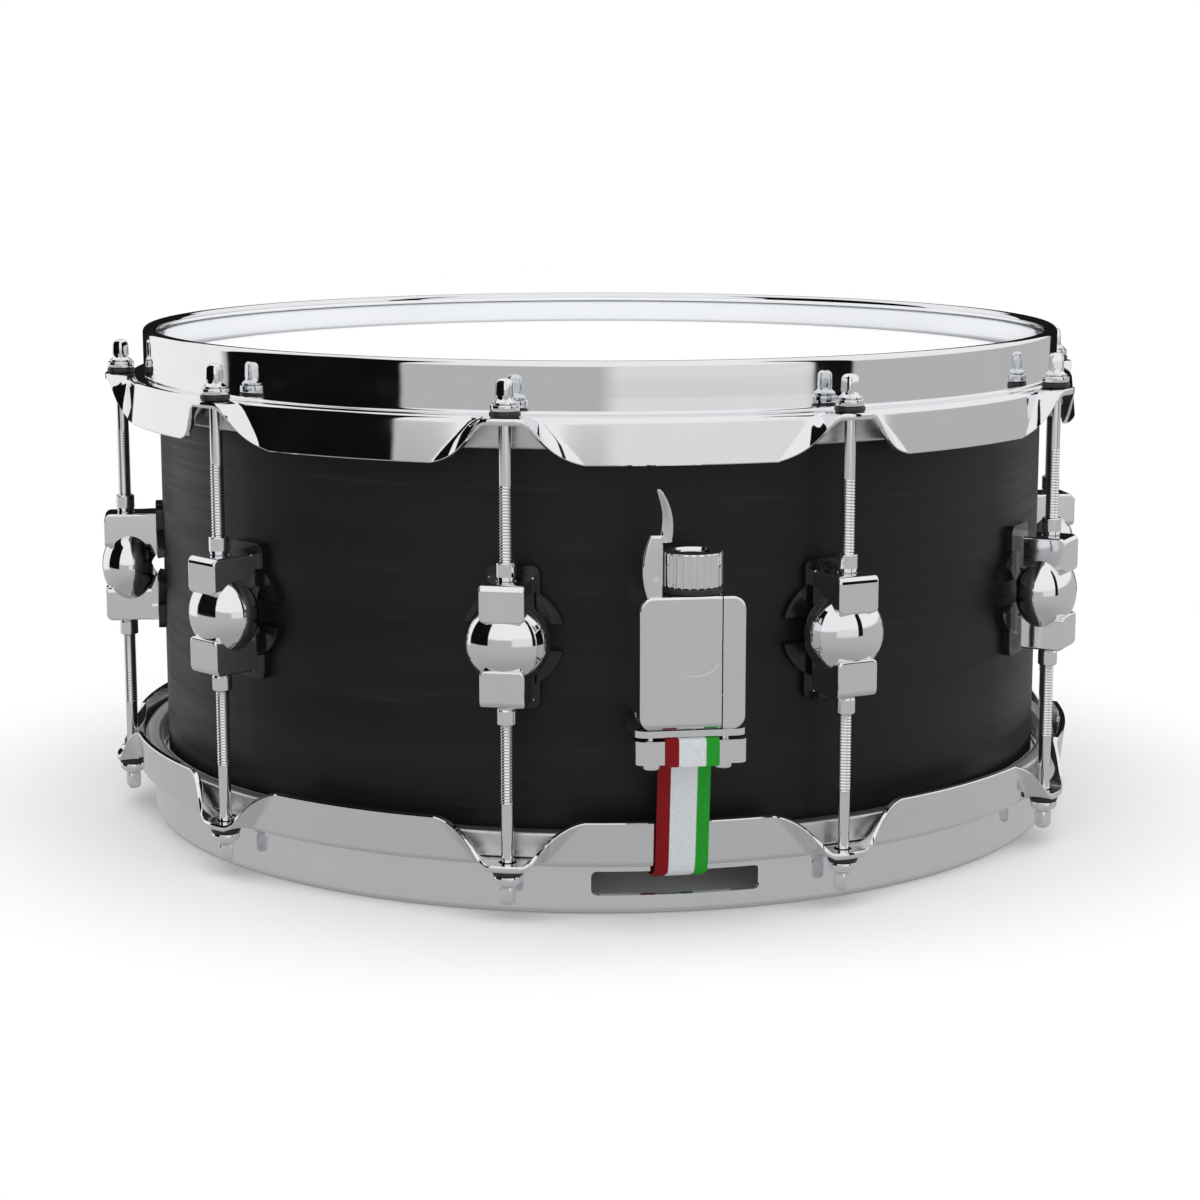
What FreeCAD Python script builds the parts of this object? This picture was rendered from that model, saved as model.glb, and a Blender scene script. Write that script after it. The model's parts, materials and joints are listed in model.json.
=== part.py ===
import FreeCAD, Part
import math
import os

from FreeCAD import Vector

# A snare drum, 14 inches across and 6.5 inches deep, in millimetres.
# +Z is up, the drum's axis is Z, and z = 0 is the plane that the snare-side rim rests on.
# Angles around the drum are counted from -Y, where the throw-off sits, towards +X.
# Sub-parts that repeat are drawn once at the -Y side, with x tangential, y = -radius, and then turned.

# Shell
SHELL_RADIUS = 177.8
SHELL_DEPTH = 165.1
SHELL_WALL = 7.2
SNARE_STAND = 15.2           # from the resting plane up to the snare-side bearing edge
BATTER_STAND = 13.2          # from the batter-side bearing edge up to the batter rim
HEIGHT = SNARE_STAND + SHELL_DEPTH + BATTER_STAND
MIDDLE = SNARE_STAND + SHELL_DEPTH / 2
SHELL_INNER = SHELL_RADIUS - SHELL_WALL
EDGE_INSET = 2.0             # the bearing edge's crest lies this far inside the shell's outer face
SNARE_BED_WIDTH = 110.0
SNARE_BED_DEPTH = 1.8
VENT_ANGLE = 144.0
VENT_RADIUS = 4.5
WITHIN = 170.0                # radius inside the shell's wall, where feet, screws and cuts begin
BEYOND = 220.0                # radius outside everything, where cuts end
ACROSS = 30.0                 # half the length of a cut that goes right across the throw-off or a lug

# Heads
FILM = 0.25
HEAD_GAP = 0.06              # clearance left between a film and what it lies on
COLLAR_RADIUS = 180.6
FLESH_IN = 181.0
FLESH_OUT = 187.1
FLESH_HEIGHT = 9.2

# Counter hoops, with depths counted from the rim's crown
WALL_RADIUS = 183.65
HOOP_SHEET = 2.3
CROWN_WIDTH = 4.85
CROWN_HEIGHT = 4.2
CROWN_ROUND = 1.95
LEDGE_TOP = 18.2
LEDGE_BOTTOM = 20.5
LEDGE_RADIUS = 189.2
SKIRT_TOP_RADIUS = 189.9
SKIRT_BOTTOM_RADIUS = 191.4
SKIRT_BOTTOM = 34.6
EAR_TOP = LEDGE_TOP
EAR_RADIUS = 6.3
EAR_HOLE = 3.2
ARCH_LEG = ((5.0, 0.0), (10.5, 0.0), (11.5, 0.8), (27.0, 1.0))   # along the rim, share of the drop
LEG_START = 188.0             # the legs under an ear start inside the skirt's face
LEG_RADIUS = 194.6            # and stand out this far
EAR_FILL_RADIUS = 9.5         # close to the tab, they fill a round plan
EAR_FILL_INSET = 5.6          # whose middle lies this far inside the circle of rods
GATE_HALF = 30.0
GATE_LOW = 6.6
GATE_HIGH = 15.2

# Tension rods, with depths counted from the rim's crown
LUG_COUNT = 10
ROD_CIRCLE = 192.5
HEAD_TOP = 5.1
HEAD_SQUARE = 5.4
FLARE_TOP = 11.4
FLARE_BOTTOM = 13.75
FLARE_RADIUS = 4.3
WASHER_TOP = 13.8
WASHER_BOTTOM = 16.1
WASHER_RADIUS = 5.1
NYLON_RADIUS = 5.4
WASHER_HOLE = 2.65
SHANK_RADIUS = 2.25
THREAD_TOP = 41.0
THREAD_RADIUS = 2.5
THREAD_END = 10.0            # from the lug's middle to the end of the rod

# Lugs, with heights counted from the lug's middle
LUG_HALF_WIDTH = 7.9
LUG_HALF_HEIGHT = 21.5
LUG_BLOCK_LOW = 8.2          # the two end blocks start this far from the middle
LUG_FRONT = 200.9
LUG_SEAM = 183.0
LUG_BACK = 180.65
BALL_RADIUS = 14.9           # the middle is a flattened ball, round from the front
BALL_DEPTH = 11.2
BALL_AT = 191.1
FOOT_LOW = 16.0
FOOT_HIGH = 21.5
WEB_HALF_WIDTH = 5.0
TUNNEL_RADIUS = 5.2
GASKET_OUT = 180.6
GASKET_ROUND = 18.0
GASKET_TAB_HALF_WIDTH = 9.4
GASKET_HALF_HEIGHT = 25.0
LUG_SCREW_HEIGHT = 18.7

# Swivel nuts, with heights counted from the lug's middle
NUT_BORE = 2.55
NUT_BARREL = 3.5
NUT_COLLAR = 3.6
NUT_NECK = 3.1
NUT_LOW = 8.0
NUT_SEAT = 6.5
NUT_COLLAR_LOW = 23.3
NUT_TOP = 28.3

# Screws that go through the shell from inside
SCREW_RADIUS = 1.95
SCREW_HOLE = 2.1
SCREW_THREAD_HOLE = 2.0
SCREW_HEAD_RADIUS = 3.6
SCREW_HEAD_HEIGHT = 2.4
SCREW_WASHER = 0.8
SCREW_WASHER_RADIUS = 4.6
LUG_SCREW_END = 187.2
STRAINER_SCREW_END = 182.8
STRAINER_SCREWS = {0: (86.0, 106.0), 180: (79.0, 91.0)}     # angle of the clamp: screw heights

# Throw-off
HOUSING_HALF = 18.0
HOUSING_LOW = 72.0
HOUSING_HIGH = 117.5
HOUSING_BACK = 177.95
HOUSING_FRONT = 212.5
HOUSING_CORNER = 4.6
COVER_BACK = 207.5
COVER_RIGHT = 9.8
SEAM = 0.4
CHEEK_WALL = 4.0
BACK_WALL = 184.0
ROOF_LOW = 113.0
PIN_RADIUS_AT = 203.5
PIN_HEIGHT = 75.5
PIN_RADIUS = 1.5
PIN_END = 13.8                # the pin's right end, in a blind hole in the right cheek
PIN_FIT = 0.05
KNUCKLE_RADIUS = 3.4
KNUCKLE_LEFTS = (-13.6, 5.2)
KNUCKLE_WIDTH = 4.2
CHEEK_NOSE = 3.6              # the left cheek is round about the pin, so that the lever's toe clears it
TOE_ROUND = 2.5
SEAT_X = 1.0                 # the shallow round seat on the front
SEAT_HEIGHT = 99.8
SEAT_RADIUS = 9.4
SEAT_DEPTH = 0.3
KNOB_X = 1.6
KNOB_AT = 201.0
KNOB_RADIUS = 10.2
KNOB_LOW = 119.6
KNOB_HIGH = 131.4
KNOB_FLUTES = 24
KNOB_WASHER_RADIUS = 10.8
SPINDLE_RADIUS = 2.5
TRAVELLER_SIDES = (-11.0, 8.6)
TRAVELLER_BACK = 188.0
TRAVELLER_FRONT = 204.6
TRAVELLER_LOW = 88.0
TRAVELLER_HIGH = 100.0
STEM_RADIUS = 2.2
STEM_TOP = 111.0
STEM_X = -6.0
STEM_AT = 193.0
ARM_RIGHT = -10.1
ARM_OUTLINE = ((-14.4, 138.2), (-16.9, 128.5), (-13.6, 113.0))   # the arm's bulging left side, as an arc
ARM_FRONT = 211.3
ARM_SLOT_X = -12.6
ARM_SLOT_ENDS = (124.6, 133.6)
ARM_SLOT_STEPS = ((1.7, 0.4), (1.0, 1.2))      # half-width and depth
HORN_FOOT = 135.8
HORN_TOP = 154.4
HORN_MIDDLE = (-9.2, 4.8, -8.2)                # its middle's x, as a quadratic in the share of its height
HORN_LEAN = 6.0
HORN_HALF_WIDTHS = (2.3, 1.3)                  # at the foot and just below the tip
HORN_HALF_DEPTHS = (1.75, 1.25)

# Strap clamps, one under the throw-off and one under the butt plate
CLAMP_HALF = 19.2
CLAMP_LOW = 60.2
CLAMP_HIGH = 68.3
CLAMP_BACK = 196.5
CLAMP_FRONT = 211.8
JAW_LOW = 69.3
JAW_HIGH = 71.6
JAW_BACK = 188.0
JAW_FRONT = 210.3
JAW_CORNER = 4.0
CLAMP_SCREW_X = 12.5
CLAMP_SCREW_AT = 202.0
CLAMP_HEAD_RADIUS = 3.0
CLAMP_HEAD_HEIGHT = 3.6
CLAMP_SOCKET_RADIUS = 1.5
CLAMP_SHANK_RADIUS = 2.0
STRAP_WIDTH = 18.5
STRAP = 0.9
BUTT_HIGH = 96.0
BUTT_FRONT = 206.0
BUTT_FOOT_HIGH = 73.2

# Snare wires
STRANDS = 20
STRAND_PITCH = 2.2
COIL_RADIUS = 0.85
COIL_HALF_LENGTH = 151.0
PLATE_LENGTH = 14.0
PLATE_HALF_WIDTH = 24.0
PLATE_SHEET = 1.2
WIRE_HEIGHT = SNARE_STAND - HEAD_GAP - FILM - COIL_RADIUS - 0.05

UP = Vector(0, 0, 1)
ORIGIN = Vector(0, 0, 0)
RADIAL_OUT = Vector(0, -1, 0)
TANGENT = Vector(1, 0, 0)


def turned(shape, degrees):
    """A copy of a shape drawn at the -Y side, turned round the drum's axis."""
    copy = shape.copy()
    copy.rotate(ORIGIN, UP, degrees)
    return copy


def flipped(shape, plane_z):
    """A copy mirrored top to bottom about the horizontal plane at plane_z."""
    return shape.mirror(Vector(0, 0, plane_z), UP)


def lug_angles():
    step = 360.0 / LUG_COUNT
    return [step / 2 + step * i for i in range(LUG_COUNT)]


def tube(radius, hole, low, high, x=0.0, at=0.0):
    """An upright cylinder at radius `at` from the axis, with an optional hole through it."""
    centre = Vector(x, -at, low)
    body = Part.makeCylinder(radius, high - low, centre, UP)
    if hole:
        body = body.cut(Part.makeCylinder(hole, high - low + 2, centre - UP, UP))
    return body


def radial_pin(radius, inner, outer, x, z):
    """A cylinder that points away from the drum's axis."""
    return Part.makeCylinder(radius, outer - inner, Vector(x, -inner, z), RADIAL_OUT)


def tangent_pin(radius, left, right, at, z):
    return Part.makeCylinder(radius, right - left, Vector(left, -at, z), TANGENT)


def block(left, right, inner, outer, low, high):
    return Part.makeBox(right - left, outer - inner, high - low, Vector(left, -outer, low))


def revolved(points):
    """The full turn of a closed outline given as (radius, z) points."""
    corners = [Vector(r, 0, z) for r, z in points]
    face = Part.Face(Part.makePolygon(corners + corners[:1]))
    return face.revolve(ORIGIN, UP, 360)


def rounded(shape, radius, pick):
    """Fillets the edges that pick(edge) chooses."""
    edges = [e for e in shape.Edges if pick(e)]
    return shape.makeFillet(radius, edges)


def runs_along(edge, axis):
    """True for a straight edge along the axis."""
    if len(edge.Vertexes) != 2 or edge.Curve.TypeId != "Part::GeomLine":
        return False
    step = edge.Vertexes[1].Point - edge.Vertexes[0].Point
    return abs(abs(step.normalize().dot(axis)) - 1) < 1e-6


def group(shapes):
    return Part.makeCompound(shapes)


def band(points, thickness, width):
    """A strip of even thickness that follows (radius, z) points, centred on x = 0."""
    sides = []
    for sign in (1, -1):
        side = []
        for i, (r, z) in enumerate(points):
            before = points[max(i - 1, 0)]
            after = points[min(i + 1, len(points) - 1)]
            ends = [p for p in (before, after) if p != (r, z)]
            normals = []
            for p in ends:
                dr, dz = (r - p[0], z - p[1]) if p == before else (p[0] - r, p[1] - z)
                length = math.hypot(dr, dz)
                normals.append((-dz / length, dr / length))
            nr = sum(n[0] for n in normals)
            nz = sum(n[1] for n in normals)
            scale = thickness * len(normals) / (nr * nr + nz * nz) / 2
            side.append((r + sign * nr * scale, z + sign * nz * scale))
        sides.append(side)
    outline = sides[0] + sides[1][::-1]
    corners = [Vector(-width / 2, -r, z) for r, z in outline]
    face = Part.Face(Part.makePolygon(corners + corners[:1]))
    return face.extrude(Vector(width, 0, 0))


# ---------------------------------------------------------------- shell and heads

def shell():
    low, high = SNARE_STAND, SNARE_STAND + SHELL_DEPTH
    crest = SHELL_RADIUS - EDGE_INSET
    bevel = crest - SHELL_INNER
    body = revolved([
        (SHELL_RADIUS, low + EDGE_INSET), (SHELL_RADIUS, high - EDGE_INSET), (crest, high),
        (SHELL_INNER, high - bevel), (SHELL_INNER, low + bevel), (crest, low)])
    bed_radius = (SNARE_BED_WIDTH ** 2 / 4 + SNARE_BED_DEPTH ** 2) / (2 * SNARE_BED_DEPTH)
    bed_start = Vector(0, -SHELL_RADIUS - 5, low + SNARE_BED_DEPTH - bed_radius)
    body = body.cut(Part.makeCylinder(bed_radius, 2 * SHELL_RADIUS + 10, bed_start, Vector(0, 1, 0)))
    for angle in lug_angles():
        for z in (MIDDLE - LUG_SCREW_HEIGHT, MIDDLE + LUG_SCREW_HEIGHT):
            body = body.cut(turned(radial_pin(SCREW_HOLE, 160, 185, 0, z), angle))
    for angle, heights in STRAINER_SCREWS.items():
        for z in heights:
            body = body.cut(turned(radial_pin(SCREW_HOLE, 160, 185, 0, z), angle))
    return body.cut(turned(radial_pin(VENT_RADIUS, 160, 185, 0, MIDDLE), VENT_ANGLE))


def vent_grommet():
    """A brass eyelet: a sleeve through the shell with a rolled flange at each end."""
    sleeve = radial_pin(VENT_RADIUS - 0.05, SHELL_INNER - 1.4, SHELL_RADIUS + 1.3, 0, MIDDLE)
    outer = radial_pin(VENT_RADIUS + 3.5, SHELL_RADIUS + 0.1, SHELL_RADIUS + 1.3, 0, MIDDLE)
    inner = radial_pin(VENT_RADIUS + 2.5, SHELL_INNER - 1.4, SHELL_INNER - 0.2, 0, MIDDLE)
    hole = radial_pin(VENT_RADIUS - 0.9, 160, 185, 0, MIDDLE)
    return turned(sleeve.fuse([outer, inner]).cut(hole), VENT_ANGLE)


def head_film(edge_z, down):
    """A film that lies over a bearing edge and runs down its collar into the flesh hoop."""
    crest = SHELL_RADIUS - EDGE_INSET
    top = HEAD_GAP + FILM
    shoulder = SHELL_RADIUS + 0.45
    rise = down * -1
    outer = [(0, top), (crest + 0.3, top), (shoulder + FILM, -EDGE_INSET),
             (COLLAR_RADIUS + FILM, -9.6), (COLLAR_RADIUS + FILM, -14.0)]
    inner = [(COLLAR_RADIUS, -14.0), (COLLAR_RADIUS, -9.6), (shoulder, -EDGE_INSET),
             (crest + 0.1, HEAD_GAP), (0, HEAD_GAP)]
    return revolved([(r, edge_z + rise * z) for r, z in outer + inner])


def flesh_hoop(rim_z, down):
    """The head's aluminium ring, which the counter hoop's ledge presses on."""
    high = LEDGE_BOTTOM + 0.1
    low = high + FLESH_HEIGHT
    corner = 0.9
    outline = [(FLESH_IN, high + corner), (FLESH_IN + corner, high), (FLESH_OUT - corner, high),
               (FLESH_OUT, high + corner), (FLESH_OUT, low - corner), (FLESH_OUT - corner, low),
               (FLESH_IN + corner, low), (FLESH_IN, low - corner)]
    return revolved([(r, rim_z + down * d) for r, d in outline])


# ---------------------------------------------------------------- counter hoops

def hoop_wall(crown_z):
    """The rolled crown, the upright wall and the ledge, turned as one ring."""
    inner = WALL_RADIUS - HOOP_SHEET
    crown = Part.makeCylinder(WALL_RADIUS, CROWN_HEIGHT, Vector(0, 0, crown_z - CROWN_HEIGHT), UP)
    crown = crown.cut(Part.makeCylinder(
        WALL_RADIUS - CROWN_WIDTH, CROWN_HEIGHT + 2, Vector(0, 0, crown_z - CROWN_HEIGHT - 1), UP))
    crown = rounded(crown, CROWN_ROUND, lambda e: e.Curve.TypeId == "Part::GeomCircle")
    wall_top = crown_z - CROWN_HEIGHT / 2
    step = 1.3
    wall = revolved([
        (inner, wall_top), (WALL_RADIUS, wall_top),
        (WALL_RADIUS, crown_z - LEDGE_TOP + step), (WALL_RADIUS + step, crown_z - LEDGE_TOP),
        (LEDGE_RADIUS, crown_z - LEDGE_TOP), (LEDGE_RADIUS, crown_z - LEDGE_BOTTOM),
        (inner, crown_z - LEDGE_BOTTOM)])
    return crown.fuse(wall)


def arch_curve(rise, high, low):
    """An S-shaped leg from the ear down to the skirt's edge, as a curve in the x, z plane."""
    spread = [0] + [rise] * (len(ARCH_LEG) - 1)
    poles = [Vector(x + more, 0, high + (low - high) * share) for (x, share), more in zip(ARCH_LEG, spread)]
    leg = Part.BezierCurve()
    leg.setPoles(poles)
    return leg.toShape()


def arch_tool(rise, crown_z):
    """The opening under an ear, widened by `rise` all round, as a radial prism."""
    high = crown_z - LEDGE_BOTTOM + rise
    low = crown_z - SKIRT_BOTTOM
    top_half, foot_half = ARCH_LEG[0][0], ARCH_LEG[-1][0] + rise
    right = arch_curve(rise, high, low)
    left = right.mirror(ORIGIN, TANGENT)
    feet = [Vector(s * foot_half, 0, z) for s, z in ((1, low), (1, low - 3), (-1, low - 3), (-1, low))]
    top = Part.makeLine(Vector(-top_half, 0, high), Vector(top_half, 0, high))
    edges = [top, right, left] + [Part.makeLine(a, b) for a, b in zip(feet, feet[1:])]
    face = Part.Face(Part.Wire(Part.__sortEdges__(edges)))
    return face.extrude(RADIAL_OUT * 220)


def ear(crown_z):
    """A flat ear for one rod, with the two S-shaped legs that carry it down to the skirt."""
    high, low = crown_z - EAR_TOP, crown_z - LEDGE_BOTTOM
    tab = tube(EAR_RADIUS, 0, low, high, 0, ROD_CIRCLE)
    tab = tab.fuse(block(-EAR_RADIUS, EAR_RADIUS, WALL_RADIUS - 1, ROD_CIRCLE, low, high))
    legs = arch_tool(HOOP_SHEET, crown_z).cut(arch_tool(0, crown_z))
    foot = crown_z - SKIRT_BOTTOM
    near_tab = tube(EAR_FILL_RADIUS, 0, foot, high, 0, ROD_CIRCLE - EAR_FILL_INSET)
    near_skirt = tube(LEG_RADIUS, LEG_START, foot, high)
    inside = Part.makeCylinder(LEG_START, high - foot + 2, Vector(0, 0, foot - 1), UP)
    return tab.fuse(legs.common(near_tab.fuse(near_skirt)).cut(inside))


def counter_hoop(crown_z):
    body = hoop_wall(crown_z)
    skirt_top = crown_z - LEDGE_TOP - 0.6
    skirt_low = crown_z - SKIRT_BOTTOM
    skirt = revolved([
        (SKIRT_TOP_RADIUS - 2.0, skirt_top), (SKIRT_TOP_RADIUS, skirt_top),
        (SKIRT_BOTTOM_RADIUS, skirt_low), (SKIRT_BOTTOM_RADIUS - 2.0, skirt_low)])
    arch = arch_tool(0, crown_z)
    skirt = skirt.cut([turned(arch, a) for a in lug_angles()])
    pieces = [skirt] + [turned(ear(crown_z), a) for a in lug_angles()]
    body = body.fuse(pieces)
    holes = [turned(tube(EAR_HOLE, 0, crown_z - 30, crown_z - 10, 0, ROD_CIRCLE), a) for a in lug_angles()]
    return body.cut(holes).removeSplitter()


def snare_side_hoop():
    """The same hoop turned over, with a gate at each end of the snare wires."""
    body = flipped(counter_hoop(HEIGHT), HEIGHT / 2)
    gate = block(-GATE_HALF, GATE_HALF, WITHIN, FLESH_OUT, GATE_LOW, GATE_HIGH)
    gate = rounded(gate, 2.0, lambda e: runs_along(e, Vector(0, 1, 0)))
    return body.cut([gate, turned(gate, 180)])


# ---------------------------------------------------------------- lugs

def lug_block():
    """The upper end block, which holds a swivel nut."""
    low, high = MIDDLE + LUG_BLOCK_LOW, MIDDLE + LUG_HALF_HEIGHT
    body = block(-LUG_HALF_WIDTH, LUG_HALF_WIDTH, LUG_SEAM, LUG_FRONT, low, high)
    body = rounded(body, 1.9, lambda e: runs_along(e, RADIAL_OUT) and e.BoundBox.ZMax < low + 1)
    body = rounded(body, 2.6, lambda e: runs_along(e, TANGENT) and e.BoundBox.YMin < -LUG_FRONT + 1
                   and e.BoundBox.ZMin > high - 1)
    return rounded(body, 0.8, lambda e: runs_along(e, UP) and e.BoundBox.YMin < -LUG_FRONT + 1)


def lug_ball():
    """A ball that is flattened along the drum's radius."""
    flatten = FreeCAD.Matrix()
    flatten.scale(1, BALL_DEPTH / BALL_RADIUS, 1)
    ball = Part.makeSphere(BALL_RADIUS).transformGeometry(flatten)
    ball.translate(Vector(0, -BALL_AT, MIDDLE))
    return ball


def lug_arch():
    """The small arch between the lug's middle and the shell, open from side to side."""
    return tangent_pin(TUNNEL_RADIUS, -ACROSS, ACROSS, SHELL_RADIUS, MIDDLE)


def lug_foot():
    return block(-LUG_HALF_WIDTH, LUG_HALF_WIDTH, SHELL_RADIUS, LUG_SEAM + 1,
                 MIDDLE + FOOT_LOW, MIDDLE + FOOT_HIGH)


def lug():
    """A double-ended lug: two end blocks and a flattened ball, on feet that stand off the shell."""
    web = block(-WEB_HALF_WIDTH, WEB_HALF_WIDTH, SHELL_RADIUS, LUG_SEAM + 1,
                MIDDLE - FOOT_LOW, MIDDLE + FOOT_LOW)
    ends = [lug_block(), lug_foot()]
    body = web.fuse([lug_ball()] + ends + [flipped(end, MIDDLE) for end in ends])
    body = body.cut(Part.makeCylinder(LUG_BACK, HEIGHT, ORIGIN, UP))
    body = body.cut(lug_arch())
    bore = tube(NUT_BARREL + 0.05, 0, MIDDLE + NUT_SEAT, MIDDLE + LUG_HALF_HEIGHT + 1, 0, ROD_CIRCLE)
    screw = radial_pin(SCREW_THREAD_HOLE, WITHIN, LUG_SCREW_END + 0.3, 0, MIDDLE + LUG_SCREW_HEIGHT)
    return body.cut([bore, screw, flipped(bore, MIDDLE), flipped(screw, MIDDLE)]).removeSplitter()


def lug_gasket():
    """A soft pad between the lug and the shell, with the same arch running through it."""
    disc = radial_pin(GASKET_ROUND, WITHIN, BEYOND, 0, MIDDLE)
    tab = block(-GASKET_TAB_HALF_WIDTH, GASKET_TAB_HALF_WIDTH, WITHIN, BEYOND,
                MIDDLE - GASKET_HALF_HEIGHT, MIDDLE + GASKET_HALF_HEIGHT)
    tab = rounded(tab, 3.0, lambda e: runs_along(e, Vector(0, 1, 0)))
    skin = Part.makeCylinder(GASKET_OUT, HEIGHT, ORIGIN, UP).cut(
        Part.makeCylinder(SHELL_RADIUS + 0.05, HEIGHT, ORIGIN, UP))
    body = disc.fuse(tab).common(skin)
    body = body.cut(lug_arch())
    screws = [radial_pin(SCREW_HOLE, WITHIN, BEYOND, 0, MIDDLE + s * LUG_SCREW_HEIGHT) for s in (1, -1)]
    return body.cut(screws)


def swivel_nut():
    """The upper nut of a lug: a barrel in the lug, a neck, and a collar that stands out of it."""
    z = MIDDLE
    barrel = tube(NUT_BARREL, 0, z + NUT_LOW, z + LUG_HALF_HEIGHT - 0.8, 0, ROD_CIRCLE)
    neck = tube(NUT_NECK, 0, z + LUG_HALF_HEIGHT - 1, z + LUG_HALF_HEIGHT + 0.2, 0, ROD_CIRCLE)
    cone = Part.makeCone(NUT_NECK, NUT_COLLAR, NUT_COLLAR_LOW - LUG_HALF_HEIGHT - 0.2,
                         Vector(0, -ROD_CIRCLE, z + LUG_HALF_HEIGHT + 0.2), UP)
    collar = tube(NUT_COLLAR, 0, z + NUT_COLLAR_LOW, z + NUT_TOP, 0, ROD_CIRCLE)
    collar = rounded(collar, 0.5, lambda e: e.BoundBox.ZMin > z + NUT_TOP - 0.1)
    body = barrel.fuse([neck, cone, collar])
    return body.cut(tube(NUT_BORE, 0, z, z + NUT_TOP + 1, 0, ROD_CIRCLE)).removeSplitter()


def shell_screw(z, end):
    """A pan-head screw that enters from inside the shell and ends at radius `end`."""
    head_out = SHELL_INNER - 0.1 - SCREW_WASHER
    head = radial_pin(SCREW_HEAD_RADIUS, head_out - SCREW_HEAD_HEIGHT, head_out, 0, z)
    head = rounded(head, 1.2, lambda e: e.BoundBox.YMax > -(head_out - SCREW_HEAD_HEIGHT) - 0.01
                   and e.BoundBox.YLength < 0.01)
    return head.fuse(radial_pin(SCREW_RADIUS, head_out - 0.5, end, 0, z))


def shell_screw_washer(z):
    washer = radial_pin(SCREW_WASHER_RADIUS, SHELL_INNER - 0.1 - SCREW_WASHER, SHELL_INNER - 0.1, 0, z)
    return washer.cut(radial_pin(SCREW_HOLE, 160, 175, 0, z))


def at_shell_screws(make):
    """make(z, end) at every place where a screw goes through the shell."""
    lug_heights = (MIDDLE - LUG_SCREW_HEIGHT, MIDDLE + LUG_SCREW_HEIGHT)
    places = [(a, z, LUG_SCREW_END) for a in lug_angles() for z in lug_heights]
    places += [(a, z, STRAINER_SCREW_END) for a, heights in STRAINER_SCREWS.items() for z in heights]
    return group([turned(make(z, end), a) for a, z, end in places])


# ---------------------------------------------------------------- tension rods

def rod(crown_z, down, end_z):
    """A square-headed tension rod. `down` is -1 below the batter rim and +1 above the snare rim."""
    axis = UP * down

    def stack(radius, start, length, radius_2=None):
        foot = Vector(0, -ROD_CIRCLE, crown_z + down * start)
        if radius_2 is None:
            return Part.makeCylinder(radius, length, foot, axis)
        return Part.makeCone(radius, radius_2, length, foot, axis)

    head_end = crown_z + down * (FLARE_TOP + 0.6)
    half = HEAD_SQUARE / 2
    z_low, z_high = sorted((crown_z + down * HEAD_TOP, head_end))
    head = block(-half, half, ROD_CIRCLE - half, ROD_CIRCLE + half, z_low, z_high)
    dome = Part.makeSphere(6.2, Vector(0, -ROD_CIRCLE, crown_z + down * (HEAD_TOP + 6.2)))
    head = head.common(dome.fuse(stack(6, HEAD_TOP + 3, 8)))
    flare = stack(2.7, FLARE_TOP, FLARE_BOTTOM - FLARE_TOP - 0.7, FLARE_RADIUS)
    rim = stack(FLARE_RADIUS, FLARE_BOTTOM - 0.7, 0.7)
    shank = stack(SHANK_RADIUS, FLARE_BOTTOM - 0.1, THREAD_TOP - FLARE_BOTTOM + 0.1)
    thread = stack(THREAD_RADIUS, THREAD_TOP, abs(end_z - crown_z) - THREAD_TOP)
    return head.fuse([flare, rim, shank, thread]).removeSplitter()


def batter_rod():
    return rod(HEIGHT, -1, MIDDLE + THREAD_END)


def snare_rod():
    return rod(0, 1, MIDDLE - THREAD_END)


def washer_pair(radius, start, end):
    """A washer under a batter-side rod's head, and the matching one on the snare side."""
    upper = tube(radius, WASHER_HOLE, HEIGHT - end, HEIGHT - start, 0, ROD_CIRCLE)
    upper = rounded(upper, 0.35, lambda e: e.Length > 2 * math.pi * (radius - 0.1))
    return [upper, flipped(upper, HEIGHT / 2)]


def around(shapes):
    """The same shapes at every lug, as one group."""
    return group([turned(s, a) for a in lug_angles() for s in shapes])


# ---------------------------------------------------------------- throw-off

def strainer_screw_holes(angle):
    """The threaded holes for the shell screws, in the clamp body at that angle."""
    end = STRAINER_SCREW_END + 0.3
    return [radial_pin(SCREW_THREAD_HOLE, WITHIN, end, 0, z) for z in STRAINER_SCREWS[angle]]


def front_seat():
    """The shallow round seat that crosses the seam on the throw-off's front."""
    return radial_pin(SEAT_RADIUS, HOUSING_FRONT - SEAT_DEPTH, BEYOND, SEAT_X, SEAT_HEIGHT)


def throwoff_housing():
    """The fixed body: back wall, roof, a narrow left cheek and a full-depth right cheek."""
    body = block(-HOUSING_HALF, HOUSING_HALF, WITHIN, HOUSING_FRONT, HOUSING_LOW, HOUSING_HIGH)
    body = rounded(body, HOUSING_CORNER, lambda e: runs_along(e, Vector(0, 1, 0)))
    body = rounded(body, 0.8, lambda e: e.BoundBox.YMax < -HOUSING_FRONT + 0.01)
    body = body.cut(Part.makeCylinder(HOUSING_BACK, HEIGHT, ORIGIN, UP))
    below, above = HOUSING_LOW - 1, HOUSING_HIGH + 1
    cheek = -HOUSING_HALF + CHEEK_WALL
    cavity = block(cheek, COVER_RIGHT + SEAM, BACK_WALL, BEYOND, below, ROOF_LOW)
    cover_room = block(-ACROSS, COVER_RIGHT + SEAM, COVER_BACK - SEAM, BEYOND, below, above)
    spindle = tube(SPINDLE_RADIUS + 0.08, 0, ROOF_LOW - 1, above, KNOB_X, KNOB_AT)
    toe_room = block(-ACROSS, cheek + 1, PIN_RADIUS_AT - CHEEK_NOSE - SEAM, BEYOND, below, PIN_HEIGHT)
    toe_room = toe_room.cut(tangent_pin(CHEEK_NOSE, -ACROSS - 1, 0, PIN_RADIUS_AT, PIN_HEIGHT))
    pin = tangent_pin(PIN_RADIUS, -ACROSS, PIN_END + 0.2, PIN_RADIUS_AT, PIN_HEIGHT)
    return body.cut([cavity, cover_room, toe_room, spindle, pin, front_seat()] + strainer_screw_holes(0))


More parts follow.
